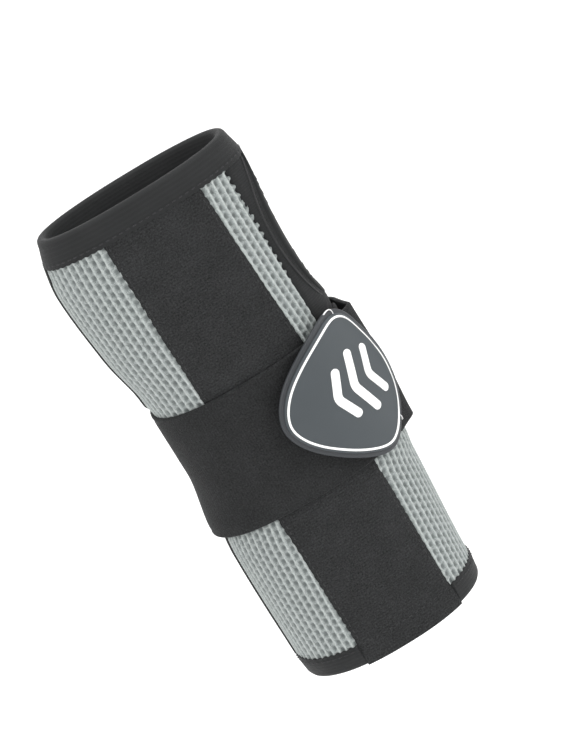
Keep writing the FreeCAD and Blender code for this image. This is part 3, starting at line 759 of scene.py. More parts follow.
def build_hem():
    """Tape over the pocket panel's lower edge; the stay goes in behind it."""
    rim_heights, lifts = folded_tape(0.0, 1, HEM_EDGE, 5.0, POCKET_MIDDLE + 1.5, SHELL + 0.4, 0.3)
    turns = np.linspace(*pocket_turns(MOUTH_HEIGHT), 60)
    around = length_round(turns, MOUTH_HEIGHT)
    end = smooth(np.minimum(around - around[0], around[-1] - around) / 1.5)
    outer = lifts > SHELL
    faded = lifts - 0.36 * smooth((rim_heights - 1.0) / (HEM_EDGE - 1.5)) * outer
    lift = faded[None, :] - 0.35 * (1 - end[:, None]) * outer[None, :]
    loops = skin(turns[:, None], rim_heights[None, :], lift)
    cloth = cloth_map(around[:, None], rim_heights[None, :])
    return face_out(sweep("pocket_hem", loops, cloth, False))


WELT_FOOT = 0.6                # how deep a welt's foot is sunk, and its share of the width


def welt_along(name, centre, outward, side, half_width, height):
    """A raised welt on a surface, from a line of centres."""
    angle = np.linspace(0, math.pi, 10)
    across = np.concatenate([np.cos(angle), [-WELT_FOOT, WELT_FOOT]]) * half_width
    rise = np.concatenate([np.sin(angle) * height, [-WELT_FOOT, -WELT_FOOT]])
    loops = (
        centre[:, None, :]
        + side[:, None, :] * across[None, :, None] * MM
        + outward[:, None, :] * rise[None, :, None] * MM
    )
    along = running_length(centre / MM)
    return face_out(sweep(name, loops, cloth_map(across[None, :], along[:, None]), False))


def frame_of(points, outward_points):
    """Directions along, out from and across a line of points."""
    along = np.gradient(points, axis=0)
    along /= np.linalg.norm(along, axis=1, keepdims=True)
    outward = outward_points - points
    outward /= np.linalg.norm(outward, axis=1, keepdims=True)
    side = np.cross(outward, along)
    side /= np.linalg.norm(side, axis=1, keepdims=True)
    return along, outward, side


PIPING_START = 9.0
PIPING_HALF_WIDTH = 1.6


def build_piping():
    made = []
    for name, line, high, proud in (
        ("ulnar_piping", seam_line(ulnar_line, ULNAR_SEAM + PIPING / 2), HAND_BINDING_EDGE + 1, 1.1),
        ("radial_piping", seam_line(radial_line, RADIAL_SEAM + PIPING / 2), THUMB_PANEL_LOW + 1, 0.8),
    ):
        heights = np.linspace(PIPING_START, high, 240)
        turn = line(heights)
        under = smooth((heights - STRAP_LOW + 4) / 3) * smooth((STRAP_HIGH + 4 - heights) / 3)
        lift = SHELL - 0.05 - (proud + 0.1) * under
        centre = skin(turn, heights, lift)
        _, outward, side = frame_of(centre, skin(turn, heights, lift + 1))
        made.append(welt_along(name, centre, outward, side, PIPING_HALF_WIDTH, proud))
    return made


# ------------------------------------------------------------------ stitches
def stub_faces(base, rings, around):
    """Faces of a short closed stub: rings of corners one above the other, and two ends."""
    faces = []
    for low in range(base, base + (rings - 1) * around, around):
        for corner in range(around):
            following = (corner + 1) % around
            faces.append([low + corner, low + following, low + around + following, low + around + corner])
    faces.append(list(range(base, base + around))[::-1])
    faces.append(list(range(base + (rings - 1) * around, base + rings * around)))
    return faces


def stitch_row(name, points, outward_points, radius=0.26):
    """Lockstitch seen from above: a row of short twisted threads sunk at both ends."""
    along_row = running_length(points / MM)
    count = max(1, int(along_row[-1] / STITCH_PITCH))
    along, outward, side = frame_of(points, outward_points)
    rings, around = 6, 6
    vertices, faces = [], []
    for number in range(count):
        start = along_row[-1] * (number + 0.5) / count
        place = np.array([np.interp(start, along_row, points[:, axis]) for axis in range(3)])
        nearest = np.argmin(np.abs(along_row - start))
        base = len(vertices)
        for ring in range(rings):
            share = ring / (rings - 1)
            reach = (share - 0.5) * STITCH_LENGTH
            bulk = radius * math.sin(math.pi * (0.12 + 0.76 * share))
            sunk = radius * (0.55 - 1.5 * (2 * share - 1) ** 4)
            for corner in range(around):
                angle = math.tau * corner / around
                vertices.append(
                    place
                    + along[nearest] * reach * MM
                    + outward[nearest] * (sunk + bulk * math.sin(angle)) * MM
                    + side[nearest] * bulk * math.cos(angle) * MM
                )
        faces += stub_faces(base, rings, around)
    flat = np.zeros((len(vertices), 2))
    flat[:, 0] = np.arange(len(vertices)) % around * 0.3
    flat[:, 1] = np.arange(len(vertices)) // around * 0.4
    return face_out(new_piece(name, np.array(vertices), faces, flat, sharp=80.0))


def sleeve_row(name, turns, heights, lift):
    return stitch_row(name, skin(turns, heights, lift), skin(turns, heights, lift + 1.0))


def build_stitching():
    turns = np.arange(-270.0, 90.1, 1.0)
    on_tape = SHELL + BINDING - 0.12
    distal = sleeve_row("distal_stitches", turns, HAND_BINDING_EDGE + ROW_INSET, on_tape)
    low_row = FOREARM_BINDING_EDGE - ROW_INSET
    left, right = pocket_turns(low_row)
    around = np.arange(right + 1.0, left + 359.0, 1.0)
    around = np.where(around > 90.0, around - 360.0, around)
    before = around[around >= right]
    after = around[around < left]
    proximal = join([
        sleeve_row("proximal_a", before, low_row, on_tape),
        sleeve_row("proximal_b", after, low_row, on_tape),
    ], "proximal_stitches")
    across = np.linspace(left + 3.0, right - 3.0, 60)
    hem = sleeve_row("hem_stitches", across, HEM_EDGE - ROW_INSET, SHELL + 0.02)
    seams = []
    for low, high in ((HEM_EDGE + 0.5, STRAP_LOW - 0.5), (STRAP_HIGH + 0.5, HAND_BINDING_EDGE - 0.5)):
        heights = np.linspace(low, high, 120)
        ulnar, radial = pocket_edges(heights)
        for x in (ulnar + 2.1, radial - 2.1):
            seams.append(sleeve_row("seam", palm_line(heights, x), heights, SHELL - 0.1))
    seam = join(seams, "pocket_seam_stitches")
    return distal, proximal, hem, seam, build_thumb_ridge()


RIDGE_AWAY = 5.9               # from the thumb hole's edge


def build_thumb_ridge():
    """The stitched welt round the thumb hole, left out where the hand rim's tape covers it."""
    z, y = hole_edge(200, RIDGE_AWAY)
    z, y = np.append(z, z[0]), np.append(y, y[0])
    shown = z < HAND_BINDING_EDGE - 0.8
    start = np.argmax(~shown & np.roll(shown, -1))
    order = np.roll(np.arange(len(z)), -start - 1)
    order = order[shown[order]]
    y, z = y[order], z[order]
    ridge = stitch_row("thumb_ridge_stitches", side_points(y, z, SHELL + 0.3), side_points(y, z, SHELL + 1.3))
    centre = side_points(y, z, SHELL - 0.1)
    _, outward, side = frame_of(centre, side_points(y, z, SHELL + 0.9))
    welt = welt_along("thumb_ridge_welt", centre, outward, side, 0.9, 0.45)
    return join([ridge, welt], "thumb_ridge")


# ------------------------------------------------------------------ strap
def rounded_edge(middle, radius, first):
    """Points of a rounded edge: half a circle, turning on from an angle."""
    angles = [first - math.pi * step / 6 for step in range(1, 6)]
    return [(middle + radius * math.cos(angle), radius + radius * math.sin(angle)) for angle in angles]


def band_section(low, high, thick):
    """Rounded cross-section of webbing: heights and lifts, going round."""
    radius = thick / 2
    flat = low + radius + (high - low - thick) * np.linspace(0, 1, 44)
    section = [(height, thick) for height in flat]
    section += rounded_edge(high - radius, radius, math.pi / 2)
    section += [(height, 0.0) for height in flat[::4][::-1]]
    section += rounded_edge(low + radius, radius, -math.pi / 2)
    heights, lifts = np.array(section).T
    return heights, lifts


def strap_band(name, first, last, offset_of, free, seed, start_along):
    """A length of the brushed elastic strap between two angles."""
    turns = np.linspace(first, last, 2 + int(abs(last - first) / 1.4))
    heights, lifts = band_section(STRAP_LOW, STRAP_HIGH, STRAP_THICK)
    edge = np.minimum(heights - STRAP_LOW, STRAP_HIGH - heights)
    centre = on_strap(turns, STRAP_MIDDLE, offset_of, STRAP_THICK / 2) / MM
    along = start_along + running_length(centre)
    outside = (lifts > STRAP_THICK / 2)[None, :]
    pressed = 0.22 * np.exp(-((edge - 2.4) / 0.7) ** 2)[None, :] * outside
    uneven = 0.05 * wobble(along[:, None], heights[None, :], 17.0, seed) * outside
    height = heights[None, :] + 0.12 * wobble(along[:, None], 0.0, 23.0, seed) * (edge < 2)[None, :]
    outward, upward = strap_edges(turns[:, None], height, free)
    loops = on_strap(turns[:, None], height + upward, offset_of, lifts[None, :] - pressed + uneven + outward)
    cloth = cloth_map(along[:, None], heights[None, :] + lifts[None, :] * 0.3)
    return face_out(sweep(name, loops, cloth, False)), along[-1]


DORSAL_CUT = 101.0
RADIAL_CUT = 31.0
SEWN_END = -207.0              # past here the strap is free


def round_trip_offset(turn):
    """One rule for the whole strap: sewn to the sleeve in front, free round the back."""
    return np.where(turn > SEWN_END, sewn_offset(turn), free_offset(turn + 360.0))


def build_strap():
    front, along = strap_band("strap_front", STRAP_START, DORSAL_CUT - 360.0, round_trip_offset, 0.0, 11, 0.0)
    dorsal, along = strap_band("strap_back", DORSAL_CUT, RADIAL_CUT, free_offset, 1.0, 12, along)
    return front, dorsal, along


TAB_OUTLINE_POINTS = 220


def tab_outline():
    """The tab's outline as it lies flat: length from its point, and height."""
    corners = np.array([
        (0.0, 0.5), (4.4, 11.8), (16.0, 21.6), (30.5, 28.4), (40.0, 30.3), (46.8, 27.2), (52.3, 17.3),
        (56.2, 1.0), (53.2, -14.5), (45.5, -24.9), (34.6, -31.2), (24.0, -27.9), (12.8, -19.7),
        (3.4, -9.4),
    ])
    ring = np.concatenate([corners[-3:], corners, corners[:3]])
    place = running_length(ring)
    fine = np.linspace(place[3], place[3 + len(corners)], TAB_OUTLINE_POINTS, endpoint=False)
    return np.stack([natural_curve(place, ring[:, axis], fine) for axis in (0, 1)], -1)


def natural_curve(places, values, at):
    """Smooth curve through points, free to swing between them."""
    count = len(places)
    step = np.diff(places)
    rise = np.diff(values) / step
    system = np.eye(count)
    right = np.zeros(count)
    for index in range(1, count - 1):
        system[index, index - 1:index + 2] = (
            step[index - 1], 2 * (step[index - 1] + step[index]), step[index]
        )
        right[index] = 6 * (rise[index] - rise[index - 1])
    bend = np.linalg.solve(system, right)
    low = np.clip(np.searchsorted(places, at) - 1, 0, count - 2)
    near, far = at - places[low], places[low + 1] - at
    width = step[low]
    return (
        (bend[low] * far ** 3 + bend[low + 1] * near ** 3) / (6 * width)
        + (values[low] / width - bend[low] * width / 6) * far
        + (values[low + 1] / width - bend[low + 1] * width / 6) * near
    )


def inset(outline, distance):
    along = np.roll(outline, -1, 0) - np.roll(outline, 1, 0)
    along /= np.linalg.norm(along, axis=1, keepdims=True)
    inward = np.stack([along[:, 1], -along[:, 0]], -1)
    return outline + inward * distance


FILL_RINGS = 9


def plate(name, outline, bottom, profile, crown=0.0):
    """A moulded plate over the strap's end.

    profile is a list of (inset, lift) from the lower edge up and over; the middle is filled
    towards the outline's centre, where it stands higher by crown.
    """
    centre = outline.mean(0)
    rings = [(inset(outline, away), lift) for away, lift in profile]
    last, top = rings[-1]
    for step in range(1, FILL_RINGS + 1):
        share = step / (FILL_RINGS + 1)
        swell = crown * smooth(share * 1.6)
        rings.append((centre + (last - centre) * (1 - share), top + swell))
    first = rings[0][0]
    under = [(centre + (first - centre) * (1 - step / 6), bottom) for step in range(5, -1, -1)]
    rings = under[:-1] + rings
    count = len(outline)
    flat = np.concatenate([ring for ring, _ in rings])
    lifts = np.concatenate([np.full(count, lift) for _, lift in rings])
    points = on_tab(flat[:, 0], flat[:, 1], lifts).reshape(len(rings), count, 3)
    return face_out(sweep(name, points, flat, False))


def raised_line(name, path, half_width, low, high, closed):
    """A raised bead along a path on the tab, with a rounded top and round ends."""
    along = np.roll(path, -1, 0) - np.roll(path, 1, 0)
    if not closed:
        along[0], along[-1] = path[1] - path[0], path[-1] - path[-2]
    along /= np.linalg.norm(along, axis=1, keepdims=True)
    side = np.stack([along[:, 1], -along[:, 0]], -1)
    run = running_length(path)
    half_width = half_width * np.ones(len(path))
    size = np.ones(len(path))
    if not closed:
        end = np.minimum(run, run[-1] - run)
        size = np.sqrt(np.clip(1 - (1 - np.clip(end / half_width, 0, 1)) ** 2, 0.02, 1))
    angle = np.linspace(math.pi, 0, 8)
    across = np.concatenate([np.sign(np.cos(angle)) * np.abs(np.cos(angle)) ** 0.6, [1, -1]])
    rise = np.concatenate([np.abs(np.sin(angle)) ** 0.5, [-0.3, -0.3]])
    reach = (half_width * size)[:, None, None]
    flat = path[:, None, :] + side[:, None, :] * (across[None, :, None] * reach)
    lift = low + (high - low) * rise[None, :] * np.where(rise > 0, size[:, None], 1.0)
    loops = on_tab(flat[..., 0], flat[..., 1], lift)
    return face_out(sweep(name, loops, flat, closed))


TAB_BASE_TOP = STRAP_THICK + 1.8
TAB_FACE_TOP = TAB_BASE_TOP + 1.2


def build_strap_end(start_along):
    """The strap's last length: full width round the thumb side, tapered under the tab."""
    outline = tab_outline()
    turns = np.linspace(RADIAL_CUT, TAB_POINT_TURN + 7.0, 120)
    reach = np.interp(turns, TAB_TURNS, TAB_LENGTHS)
    edge = inset(outline, 4.0)
    upper, lower = [], []
    middle = STRAP_MIDDLE + TAB_RAISE
    for length in reach:
        near = np.abs(edge[:, 0] - length) < 1.2
        if length > 44.0 or not near.any():
            upper.append(STRAP_HIGH)
            lower.append(STRAP_LOW)
        else:
            upper.append(middle + edge[near, 1].max())
            lower.append(middle + edge[near, 1].min())
    upper, lower = np.minimum(upper, STRAP_HIGH), np.maximum(lower, STRAP_LOW)
    corner = smooth((reach - 40.0) / 5.0)
    upper = upper * (1 - corner) + STRAP_HIGH * corner
    lower = lower * (1 - corner) + STRAP_LOW * corner
    nominal = 100.0
    section_heights, section_lifts = band_section(0.0, nominal, STRAP_THICK)
    part = section_heights / nominal
    height = lower[:, None] + (upper - lower)[:, None] * part[None, :]
    outward, upward = strap_edges(turns[:, None], height, 1.0)
    loops = on_strap(turns[:, None], height + upward, free_offset, section_lifts[None, :] + outward)
    along = start_along + running_length(loops[:, 0] / MM)
    cloth = cloth_map(along[:, None], height + section_lifts[None, :] * 0.3)
    return face_out(sweep("strap_end", loops, cloth, False))


def build_tab():
    outline = tab_outline()
    base = plate("tab_rim", outline, STRAP_THICK + 0.02, [
        (0.5, STRAP_THICK + 0.02), (0.1, STRAP_THICK + 0.35), (0.0, STRAP_THICK + 0.9),
        (0.15, TAB_BASE_TOP - 0.35), (0.5, TAB_BASE_TOP - 0.08), (1.0, TAB_BASE_TOP),
        (2.2, TAB_BASE_TOP), (4.0, TAB_BASE_TOP),
    ])
    face = plate("tab_cushion", inset(outline, 2.0), TAB_BASE_TOP + 0.02, [
        (0.0, TAB_BASE_TOP + 0.02), (0.02, TAB_BASE_TOP + 0.5), (0.2, TAB_BASE_TOP + 0.85),
        (0.6, TAB_FACE_TOP - 0.1), (1.1, TAB_FACE_TOP), (1.9, TAB_FACE_TOP),
        (3.4, TAB_FACE_TOP - 0.1), (4.6, TAB_FACE_TOP - 0.12),
    ], crown=0.15)
    path = inset(outline, 3.45)
    half_width = 0.46 - 0.24 * smooth((path[:, 0] - 42.0) / 7.0)
    line = raised_line("tab_white_line", path, half_width, TAB_FACE_TOP - 0.15, TAB_FACE_TOP + 0.3, True)
    return base, face, line


def bent_path(corners, bend, step=0.25):
    """Path through corners with each one rounded."""
    corners = [np.array(corner, float) for corner in corners]
    path = []
    for index, corner in enumerate(corners):
        if index in (0, len(corners) - 1):
            path.append(corner)
            continue
        before = corners[index - 1] - corner
        after = corners[index + 1] - corner
        start = corner + before / np.linalg.norm(before) * bend
        end = corner + after / np.linalg.norm(after) * bend
        for share in np.linspace(0, 1, 9):
            path.append((1 - share) ** 2 * start + 2 * share * (1 - share) * corner + share ** 2 * end)
    path = np.array(path)
    run = running_length(path)
    fine = np.arange(0, run[-1] + step / 2, step)
    return np.stack([np.interp(fine, run, path[:, axis]) for axis in (0, 1)], -1)


CHEVRON_STARTS = (22.0, 30.5, 39.0)
CHEVRON_HALF_HEIGHTS = (11.0, 14.0, 11.0)
CHEVRON_SWEEP = 5.0
CHEVRON_WIDTH = 4.0
CHEVRON_BEND = 2.0


def build_chevrons():
    made = []
    for start, half in zip(CHEVRON_STARTS, CHEVRON_HALF_HEIGHTS):
        middle = start + CHEVRON_WIDTH / 2
        back = middle + CHEVRON_SWEEP
        path = bent_path([(back, half), (middle, 0.0), (back, -half)], CHEVRON_BEND)
        made.append(raised_line("chevron", path, CHEVRON_WIDTH / 2 * 0.93, TAB_FACE_TOP - 0.1,
                                TAB_FACE_TOP + 0.45, False))
    return join(made, "tab_chevron_marks")


def build_corner_runs():
    """The white line's two tails, which cross the rim at the tab's broad end."""
    made = []
    for corners in (
        [(41.6, 26.4), (42.3, 28.6), (41.7, 30.2), (39.6, 30.6), (37.6, 30.2)],
        [(45.0, -22.0), (45.9, -24.0), (45.4, -25.4)],
    ):
        path = bent_path(corners, 0.8)
        made.append(raised_line("tail", path, 0.17, TAB_BASE_TOP - 0.25, TAB_BASE_TOP + 0.3, False))
    return join(made, "tab_line_tails")


HOOK_END = np.interp(-36.0, TAB_TURNS, TAB_LENGTHS)
HOOK_PAD_BOTTOM = -1.15


def build_hook_pad():
    outline = inset(tab_outline(), 6.2)
    outline[:, 0] = np.minimum(outline[:, 0], HOOK_END)
    half_height = (STRAP_HIGH - STRAP_LOW) / 2 - 3.0
    outline[:, 1] = np.clip(outline[:, 1], -half_height - TAB_RAISE, half_height - TAB_RAISE)
    outline = outline[np.linalg.norm(outline - np.roll(outline, 1, 0), axis=1) > 0.05]
    return plate("hook_field", outline, HOOK_PAD_BOTTOM, [
        (0.3, HOOK_PAD_BOTTOM), (0.0, HOOK_PAD_BOTTOM + 0.2), (0.0, -0.1), (0.2, -0.02),
    ])


def build_hooks():
    """Rows of moulded hooks under the pad."""
    pitch = 1.9
    outline = inset(tab_outline(), 7.4)
    vertices, faces = [], []
    corners, rings = 5, 3
    for along in np.arange(8.0, HOOK_END - 1.0, pitch):
        near = np.abs(outline[:, 0] - along) < 1.3
        if not near.any():
            continue
        top = min(outline[near, 1].max(), 20.0)
        low = max(outline[near, 1].min(), -24.0)
        for up in np.arange(low, top, pitch):
            base = len(vertices)
            for ring in range(rings):
                lift = HOOK_PAD_BOTTOM - 0.16 * ring
                lean = 0.22 * ring
                size = 0.34 - 0.07 * ring
                for corner in range(corners):
                    angle = math.tau * corner / corners
                    vertices.append((along + lean + size * math.cos(angle),
                                     up + size * math.sin(angle), lift))
            faces += stub_faces(base, rings, corners)
    vertices = np.array(vertices)
    points = on_tab(vertices[:, 0], vertices[:, 1], vertices[:, 2])
    return face_out(new_piece("hook_rows", points, faces, vertices[:, :2], sharp=60.0))


def build_anchor_stitches():
    rows = []
    heights = np.linspace(STRAP_LOW + 3.0, STRAP_HIGH - 3.0, 60)
    for number in range(3):
        turns = np.full(60, STRAP_START - 4.0 * (number + 1))
        seat = on_strap(turns, heights, sewn_offset, STRAP_THICK - 0.05)
        above = on_strap(turns, heights, sewn_offset, STRAP_THICK + 1.0)
        rows.append(stitch_row("anchor", seat, above, radius=0.2))
    return join(rows, "strap_anchor_stitches")


# ------------------------------------------------------------------ materials
class Value:
    """A socket that can be reckoned with: + - * / and ** add Math nodes."""

    def __init__(self, recipe, socket):
        self.recipe = recipe
        self.socket = socket

    def math(self, operation, first, second):
        return self.recipe.node("ShaderNodeMath", {"operation": operation}, {0: first, 1: second})

    def __add__(self, other):
        return self.math("ADD", self, other)

    def __sub__(self, other):
        return self.math("SUBTRACT", self, other)

    def __rsub__(self, other):
        return self.math("SUBTRACT", other, self)

    def __mul__(self, other):
        return self.math("MULTIPLY", self, other)

    def __truediv__(self, other):
        return self.math("DIVIDE", self, other)

    def __pow__(self, other):
        return self.math("POWER", self, other)

    __radd__ = __add__
    __rmul__ = __mul__

    def sine(self):
        return self.recipe.node("ShaderNodeMath", {"operation": "SINE"}, {0: self})

    def ripple(self):
        """The sine, brought between 0 and 1."""
        return self.sine() * 0.5 + 0.5


class Recipe:
    """Builds one material on a Principled surface."""

    def __init__(self, name):
        self.material = bpy.data.materials.new(name)
        self.material.use_nodes = True
        self.tree = self.material.node_tree
        self.surface = self.tree.nodes["Principled BSDF"]

    def node(self, kind, settings=None, inputs=None, output=0):
        made = self.tree.nodes.new(kind)
        for name, value in (settings or {}).items():
            setattr(made, name, value)
        for name, value in (inputs or {}).items():
            self.feed(made.inputs[name], value)
        return Value(self, made.outputs[output])

    def feed(self, socket, value):
        if isinstance(value, Value):
            self.tree.links.new(value.socket, socket)
        else:
            socket.default_value = value

    def set(self, **sockets):
        for name, value in sockets.items():
            self.feed(self.surface.inputs[name.replace("_", " ")], value)
        return self.material

    def cloth_place(self):
        """Place on the flat cloth, in millimetres."""
        return self.node("ShaderNodeUVMap", {"uv_map": "cloth"})

    def body_place(self):
        """Place in the piece's own space, in metres."""
        return self.node("ShaderNodeTexCoord", {}, {}, output=3)

    def axes(self, vector):
        across = self.node("ShaderNodeSeparateXYZ", {}, {0: vector})
        return across, Value(self, across.socket.node.outputs[1])

    def noise(self, vector, scale, detail=3.0, roughness=0.6):
        return self.node("ShaderNodeTexNoise", {}, {
            "Vector": vector, "Scale": scale, "Detail": detail, "Roughness": roughness
        })

    def mark(self, name):
        return self.node("ShaderNodeAttribute", {"attribute_name": name}, output=2)

    def mix(self, share, first, second):
        return self.node("ShaderNodeMix", {"data_type": "RGBA"}, {0: share, 6: first, 7: second}, output=2)

    def bump(self, height, distance, strength=1.0):
        return self.node("ShaderNodeBump", {}, {
            "Height": height, "Distance": distance, "Strength": strength
        })


def grey(red, green=None, blue=None):
    """Linear colour from screen values."""
    values = (red, red if green is None else green, red if blue is None else blue)
    return tuple(pow((value / 255 + 0.055) / 1.055, 2.4) for value in values) + (1.0,)


def spacer_mesh_material():
    recipe = Recipe("spacer_mesh")
    place = recipe.cloth_place()
    across, along = recipe.axes(place)
    pit, rib = recipe.mark("pit"), recipe.mark("rib")
    wale = (across * (math.tau / 0.62)).ripple()
    course = (along * (math.tau / 0.8) + wale * 2.2).ripple()
    loops = wale * course
    strands = recipe.node("ShaderNodeMapping", {}, {"Vector": place, "Rotation": (0.0, 0.0, 0.35),
                                                    "Scale": (2.2, 0.9, 1.0)})
    fibre = recipe.noise(strands, 1.0, 4.0)
    patch = recipe.noise(place, 0.12, 2.0)
    bright = recipe.mix(patch, grey(148, 155, 153), grey(166, 172, 170))
    yarn = recipe.mix(loops * 0.4 + (fibre - 0.44) * 2.8, bright, grey(100, 106, 105))
    ribbed = recipe.mix(rib * (1.7 - fibre * 2.0), yarn, grey(192, 198, 196))
    colour = recipe.mix(pit ** 1.1 * (1.15 - fibre) * 1.1, ribbed, grey(88, 95, 95))
    normal = recipe.bump(loops * 0.6 + fibre * 1.4, 0.0004, 0.9)
    return recipe.set(Base_Color=colour, Roughness=0.78 - loops * 0.1, Normal=normal,
                      Sheen_Weight=0.12, Sheen_Roughness=0.5)


def brushed_material(name, dark, light, nap, streak):
    """Brushed loop: a short nap with lighter fibre tips."""
    recipe = Recipe(name)
    place = recipe.cloth_place()
    across, along = recipe.axes(place)
    speckle = recipe.noise(place, 1.5, 5.0, 0.75)
    tuft = recipe.node("ShaderNodeTexVoronoi", {}, {"Vector": place, "Scale": 1.15})
    lines = (across * (math.tau / 1.1)).sine() * 0.5 + 0.5 if streak == "across" else (
        (along * (math.tau / 1.25)).sine() * 0.5 + 0.5)
    broad = recipe.noise(place, 0.07, 2.0)
    tips = (speckle - 0.38) * 2.3 + (tuft - 0.4) * 0.25 + (broad - 0.5) * 0.35 + lines * 0.08
    tips = recipe.node("ShaderNodeClamp", {}, {0: tips})
    colour = recipe.mix(tips, grey(*dark), grey(*light))
    normal = recipe.bump(speckle + tuft * 0.35 + lines * 0.12, nap, 0.9)
    return recipe.set(Base_Color=colour, Roughness=0.93 - tips * 0.08, Normal=normal,
                      Specular_IOR_Level=0.28, Sheen_Weight=0.03, Sheen_Roughness=0.5)


def knit_material(name, dark, light, wale_pitch, course_pitch, depth, sheen=0.1, gloss=0.72):
    """Fine knit in rows and columns."""
    recipe = Recipe(name)
    place = recipe.cloth_place()
    across, along = recipe.axes(place)
    wale = (across * (math.tau / wale_pitch)).sine()
    course = (along * (math.tau / course_pitch) + wale * 1.4).sine()
    loops = wale * course * 0.5 + 0.5
    fibre = recipe.noise(place, 1.8, 4.0, 0.7)
    broad = recipe.noise(place, 0.09, 2.0)
    share = loops * 0.35 + fibre * 0.55 + (broad - 0.5) * 0.4
    colour = recipe.mix(share, grey(*dark), grey(*light))
    normal = recipe.bump(loops * 0.8 + fibre * 0.5, depth, 0.8)
    return recipe.set(Base_Color=colour, Roughness=gloss + fibre * 0.15, Normal=normal,
                      Specular_IOR_Level=0.28, Sheen_Weight=sheen, Sheen_Roughness=0.5)


def thread_material():
    recipe = Recipe("thread")
    across, along = recipe.axes(recipe.cloth_place())
    twist = (along * 9.0 + across * 6.0).ripple()
    colour = recipe.mix(twist, grey(12, 12, 13), grey(34, 34, 36))
    return recipe.set(Base_Color=colour, Roughness=0.55 + twist * 0.1,
                      Normal=recipe.bump(twist, 0.00008, 0.8))


def moulded_material(name, dark, light, gloss, grain):
    """Moulded rubber: fine grain, and slightly shinier where it is handled."""
    recipe = Recipe(name)
    place = recipe.cloth_place()
    fine = recipe.noise(place, 3.2, 4.0)
    broad = recipe.noise(place, 0.06, 2.0)
    colour = recipe.mix(broad * 0.7 + fine * 0.3, grey(*dark), grey(*light))
    return recipe.set(Base_Color=colour, Roughness=gloss + (fine - 0.5) * 0.12 + (broad - 0.5) * 0.1,
                      Normal=recipe.bump(fine, grain, 0.6))


def brushed_metal_material():
    recipe = Recipe("rolled_aluminium")
    where = recipe.body_place()
    stretched = recipe.node("ShaderNodeMapping", {}, {"Vector": where, "Scale": (1800.0, 1800.0, 30.0)})
    lines = recipe.noise(stretched, 1.0, 3.0)
    smear = recipe.noise(where, 40.0, 3.0)
    colour = recipe.mix(smear, grey(176, 178, 181), grey(205, 207, 210))
    return recipe.set(Base_Color=colour, Metallic=1.0, Roughness=0.3 + lines * 0.2,
                      Normal=recipe.bump(lines, 0.00004, 0.5))


def dipped_material():
    recipe = Recipe("dipped_vinyl")
    where = recipe.body_place()
    drip = recipe.noise(where, 260.0, 3.0)
    colour = recipe.mix(drip, grey(24, 24, 26), grey(44, 44, 47))
    return recipe.set(Base_Color=colour, Roughness=0.35 + drip * 0.15,
                      Normal=recipe.bump(drip, 0.0002, 0.4))


def declare_cloth(piece):
    """Reads the piece's flat cloth map, in metres; nothing more is done with it."""
    mesh = piece.data
    flat = np.empty(len(mesh.loops) * 2, np.float32)
    mesh.uv_layers["cloth"].data.foreach_get("uv", flat)
    flat = flat.reshape(-1, 2).astype(float) * MM


def paint(piece, material):
    piece.data.materials.clear()
    piece.data.materials.append(material)


# ------------------------------------------------------------------ stage, light, camera
def soft_light(name, place, aim, size, power):
    light = bpy.data.lights.new(name, "AREA")
    light.shape = "DISK"
    light.size = size
    light.energy = power
    lamp = bpy.data.objects.new(name, light)
    lamp.location = place
    lamp.rotation_euler = (Vector(aim) - Vector(place)).to_track_quat("-Z", "Y").to_euler()
    bpy.context.scene.collection.objects.link(lamp)


FLOOR_HEIGHT = -0.24


def build_stage():
    """A pale floor that curves up into a backdrop."""
    reach, wall, bend = 3.0, 2.2, 0.9
    profile = [(-reach, 0.0)]
    for step in range(13):
        angle = math.radians(90 * step / 12)
        profile.append((wall - bend + bend * math.sin(angle), bend - bend * math.cos(angle)))
    profile.append((wall, 3.2))
    points, faces = [], []
    for y, z in profile:
        points.append((-4.0, y, FLOOR_HEIGHT + z))
        points.append((4.0, y, FLOOR_HEIGHT + z))
    for row in range(len(profile) - 1):
        faces.append([2 * row, 2 * row + 1, 2 * row + 3, 2 * row + 2])
    mesh = bpy.data.meshes.new("studio_sweep")
    mesh.from_pydata(points, [], faces)
    mesh.polygons.foreach_set("use_smooth", [True] * len(faces))
    floor = bpy.data.objects.new("studio_sweep", mesh)
    bpy.context.scene.collection.objects.link(floor)
    recipe = Recipe("studio_paper")
    where = recipe.body_place()
    mottle = recipe.noise(where, 3.0, 2.0)
    recipe.set(Base_Color=recipe.mix(mottle, grey(248), grey(252)), Roughness=0.9)
    mesh.materials.append(recipe.material)


def build_light():
    world = bpy.data.worlds.new("studio")
    world.use_nodes = True
    backdrop = world.node_tree.nodes["Background"]
    backdrop.inputs["Color"].default_value = (1.0, 1.0, 1.0, 1.0)
    backdrop.inputs["Strength"].default_value = 0.8
    bpy.context.scene.world = world
    bpy.context.scene.view_settings.view_transform = "Standard"
    soft_light("key", (-1.1, -1.2, 1.1), (0, 0, 0.1), 0.7, 13.5)
    soft_light("fill", (1.4, -0.7, 0.6), (0, 0, 0.1), 0.9, 12.0)
    soft_light("backdrop_wash", (0.0, 0.2, 2.4), (0, 1.6, 0.2), 1.6, 40.0)


# The camera looks down on the palm and leans, so that the arm lies across the frame.
CAMERA_ELEVATION = 17.0
CAMERA_ROLL = 31.3
CAMERA_DISTANCE = 1.05
FRAME_HEIGHT = 0.294           # what the frame's long side takes in at the splint
CAMERA_AIM = (0.0141, -0.015, 0.1193)


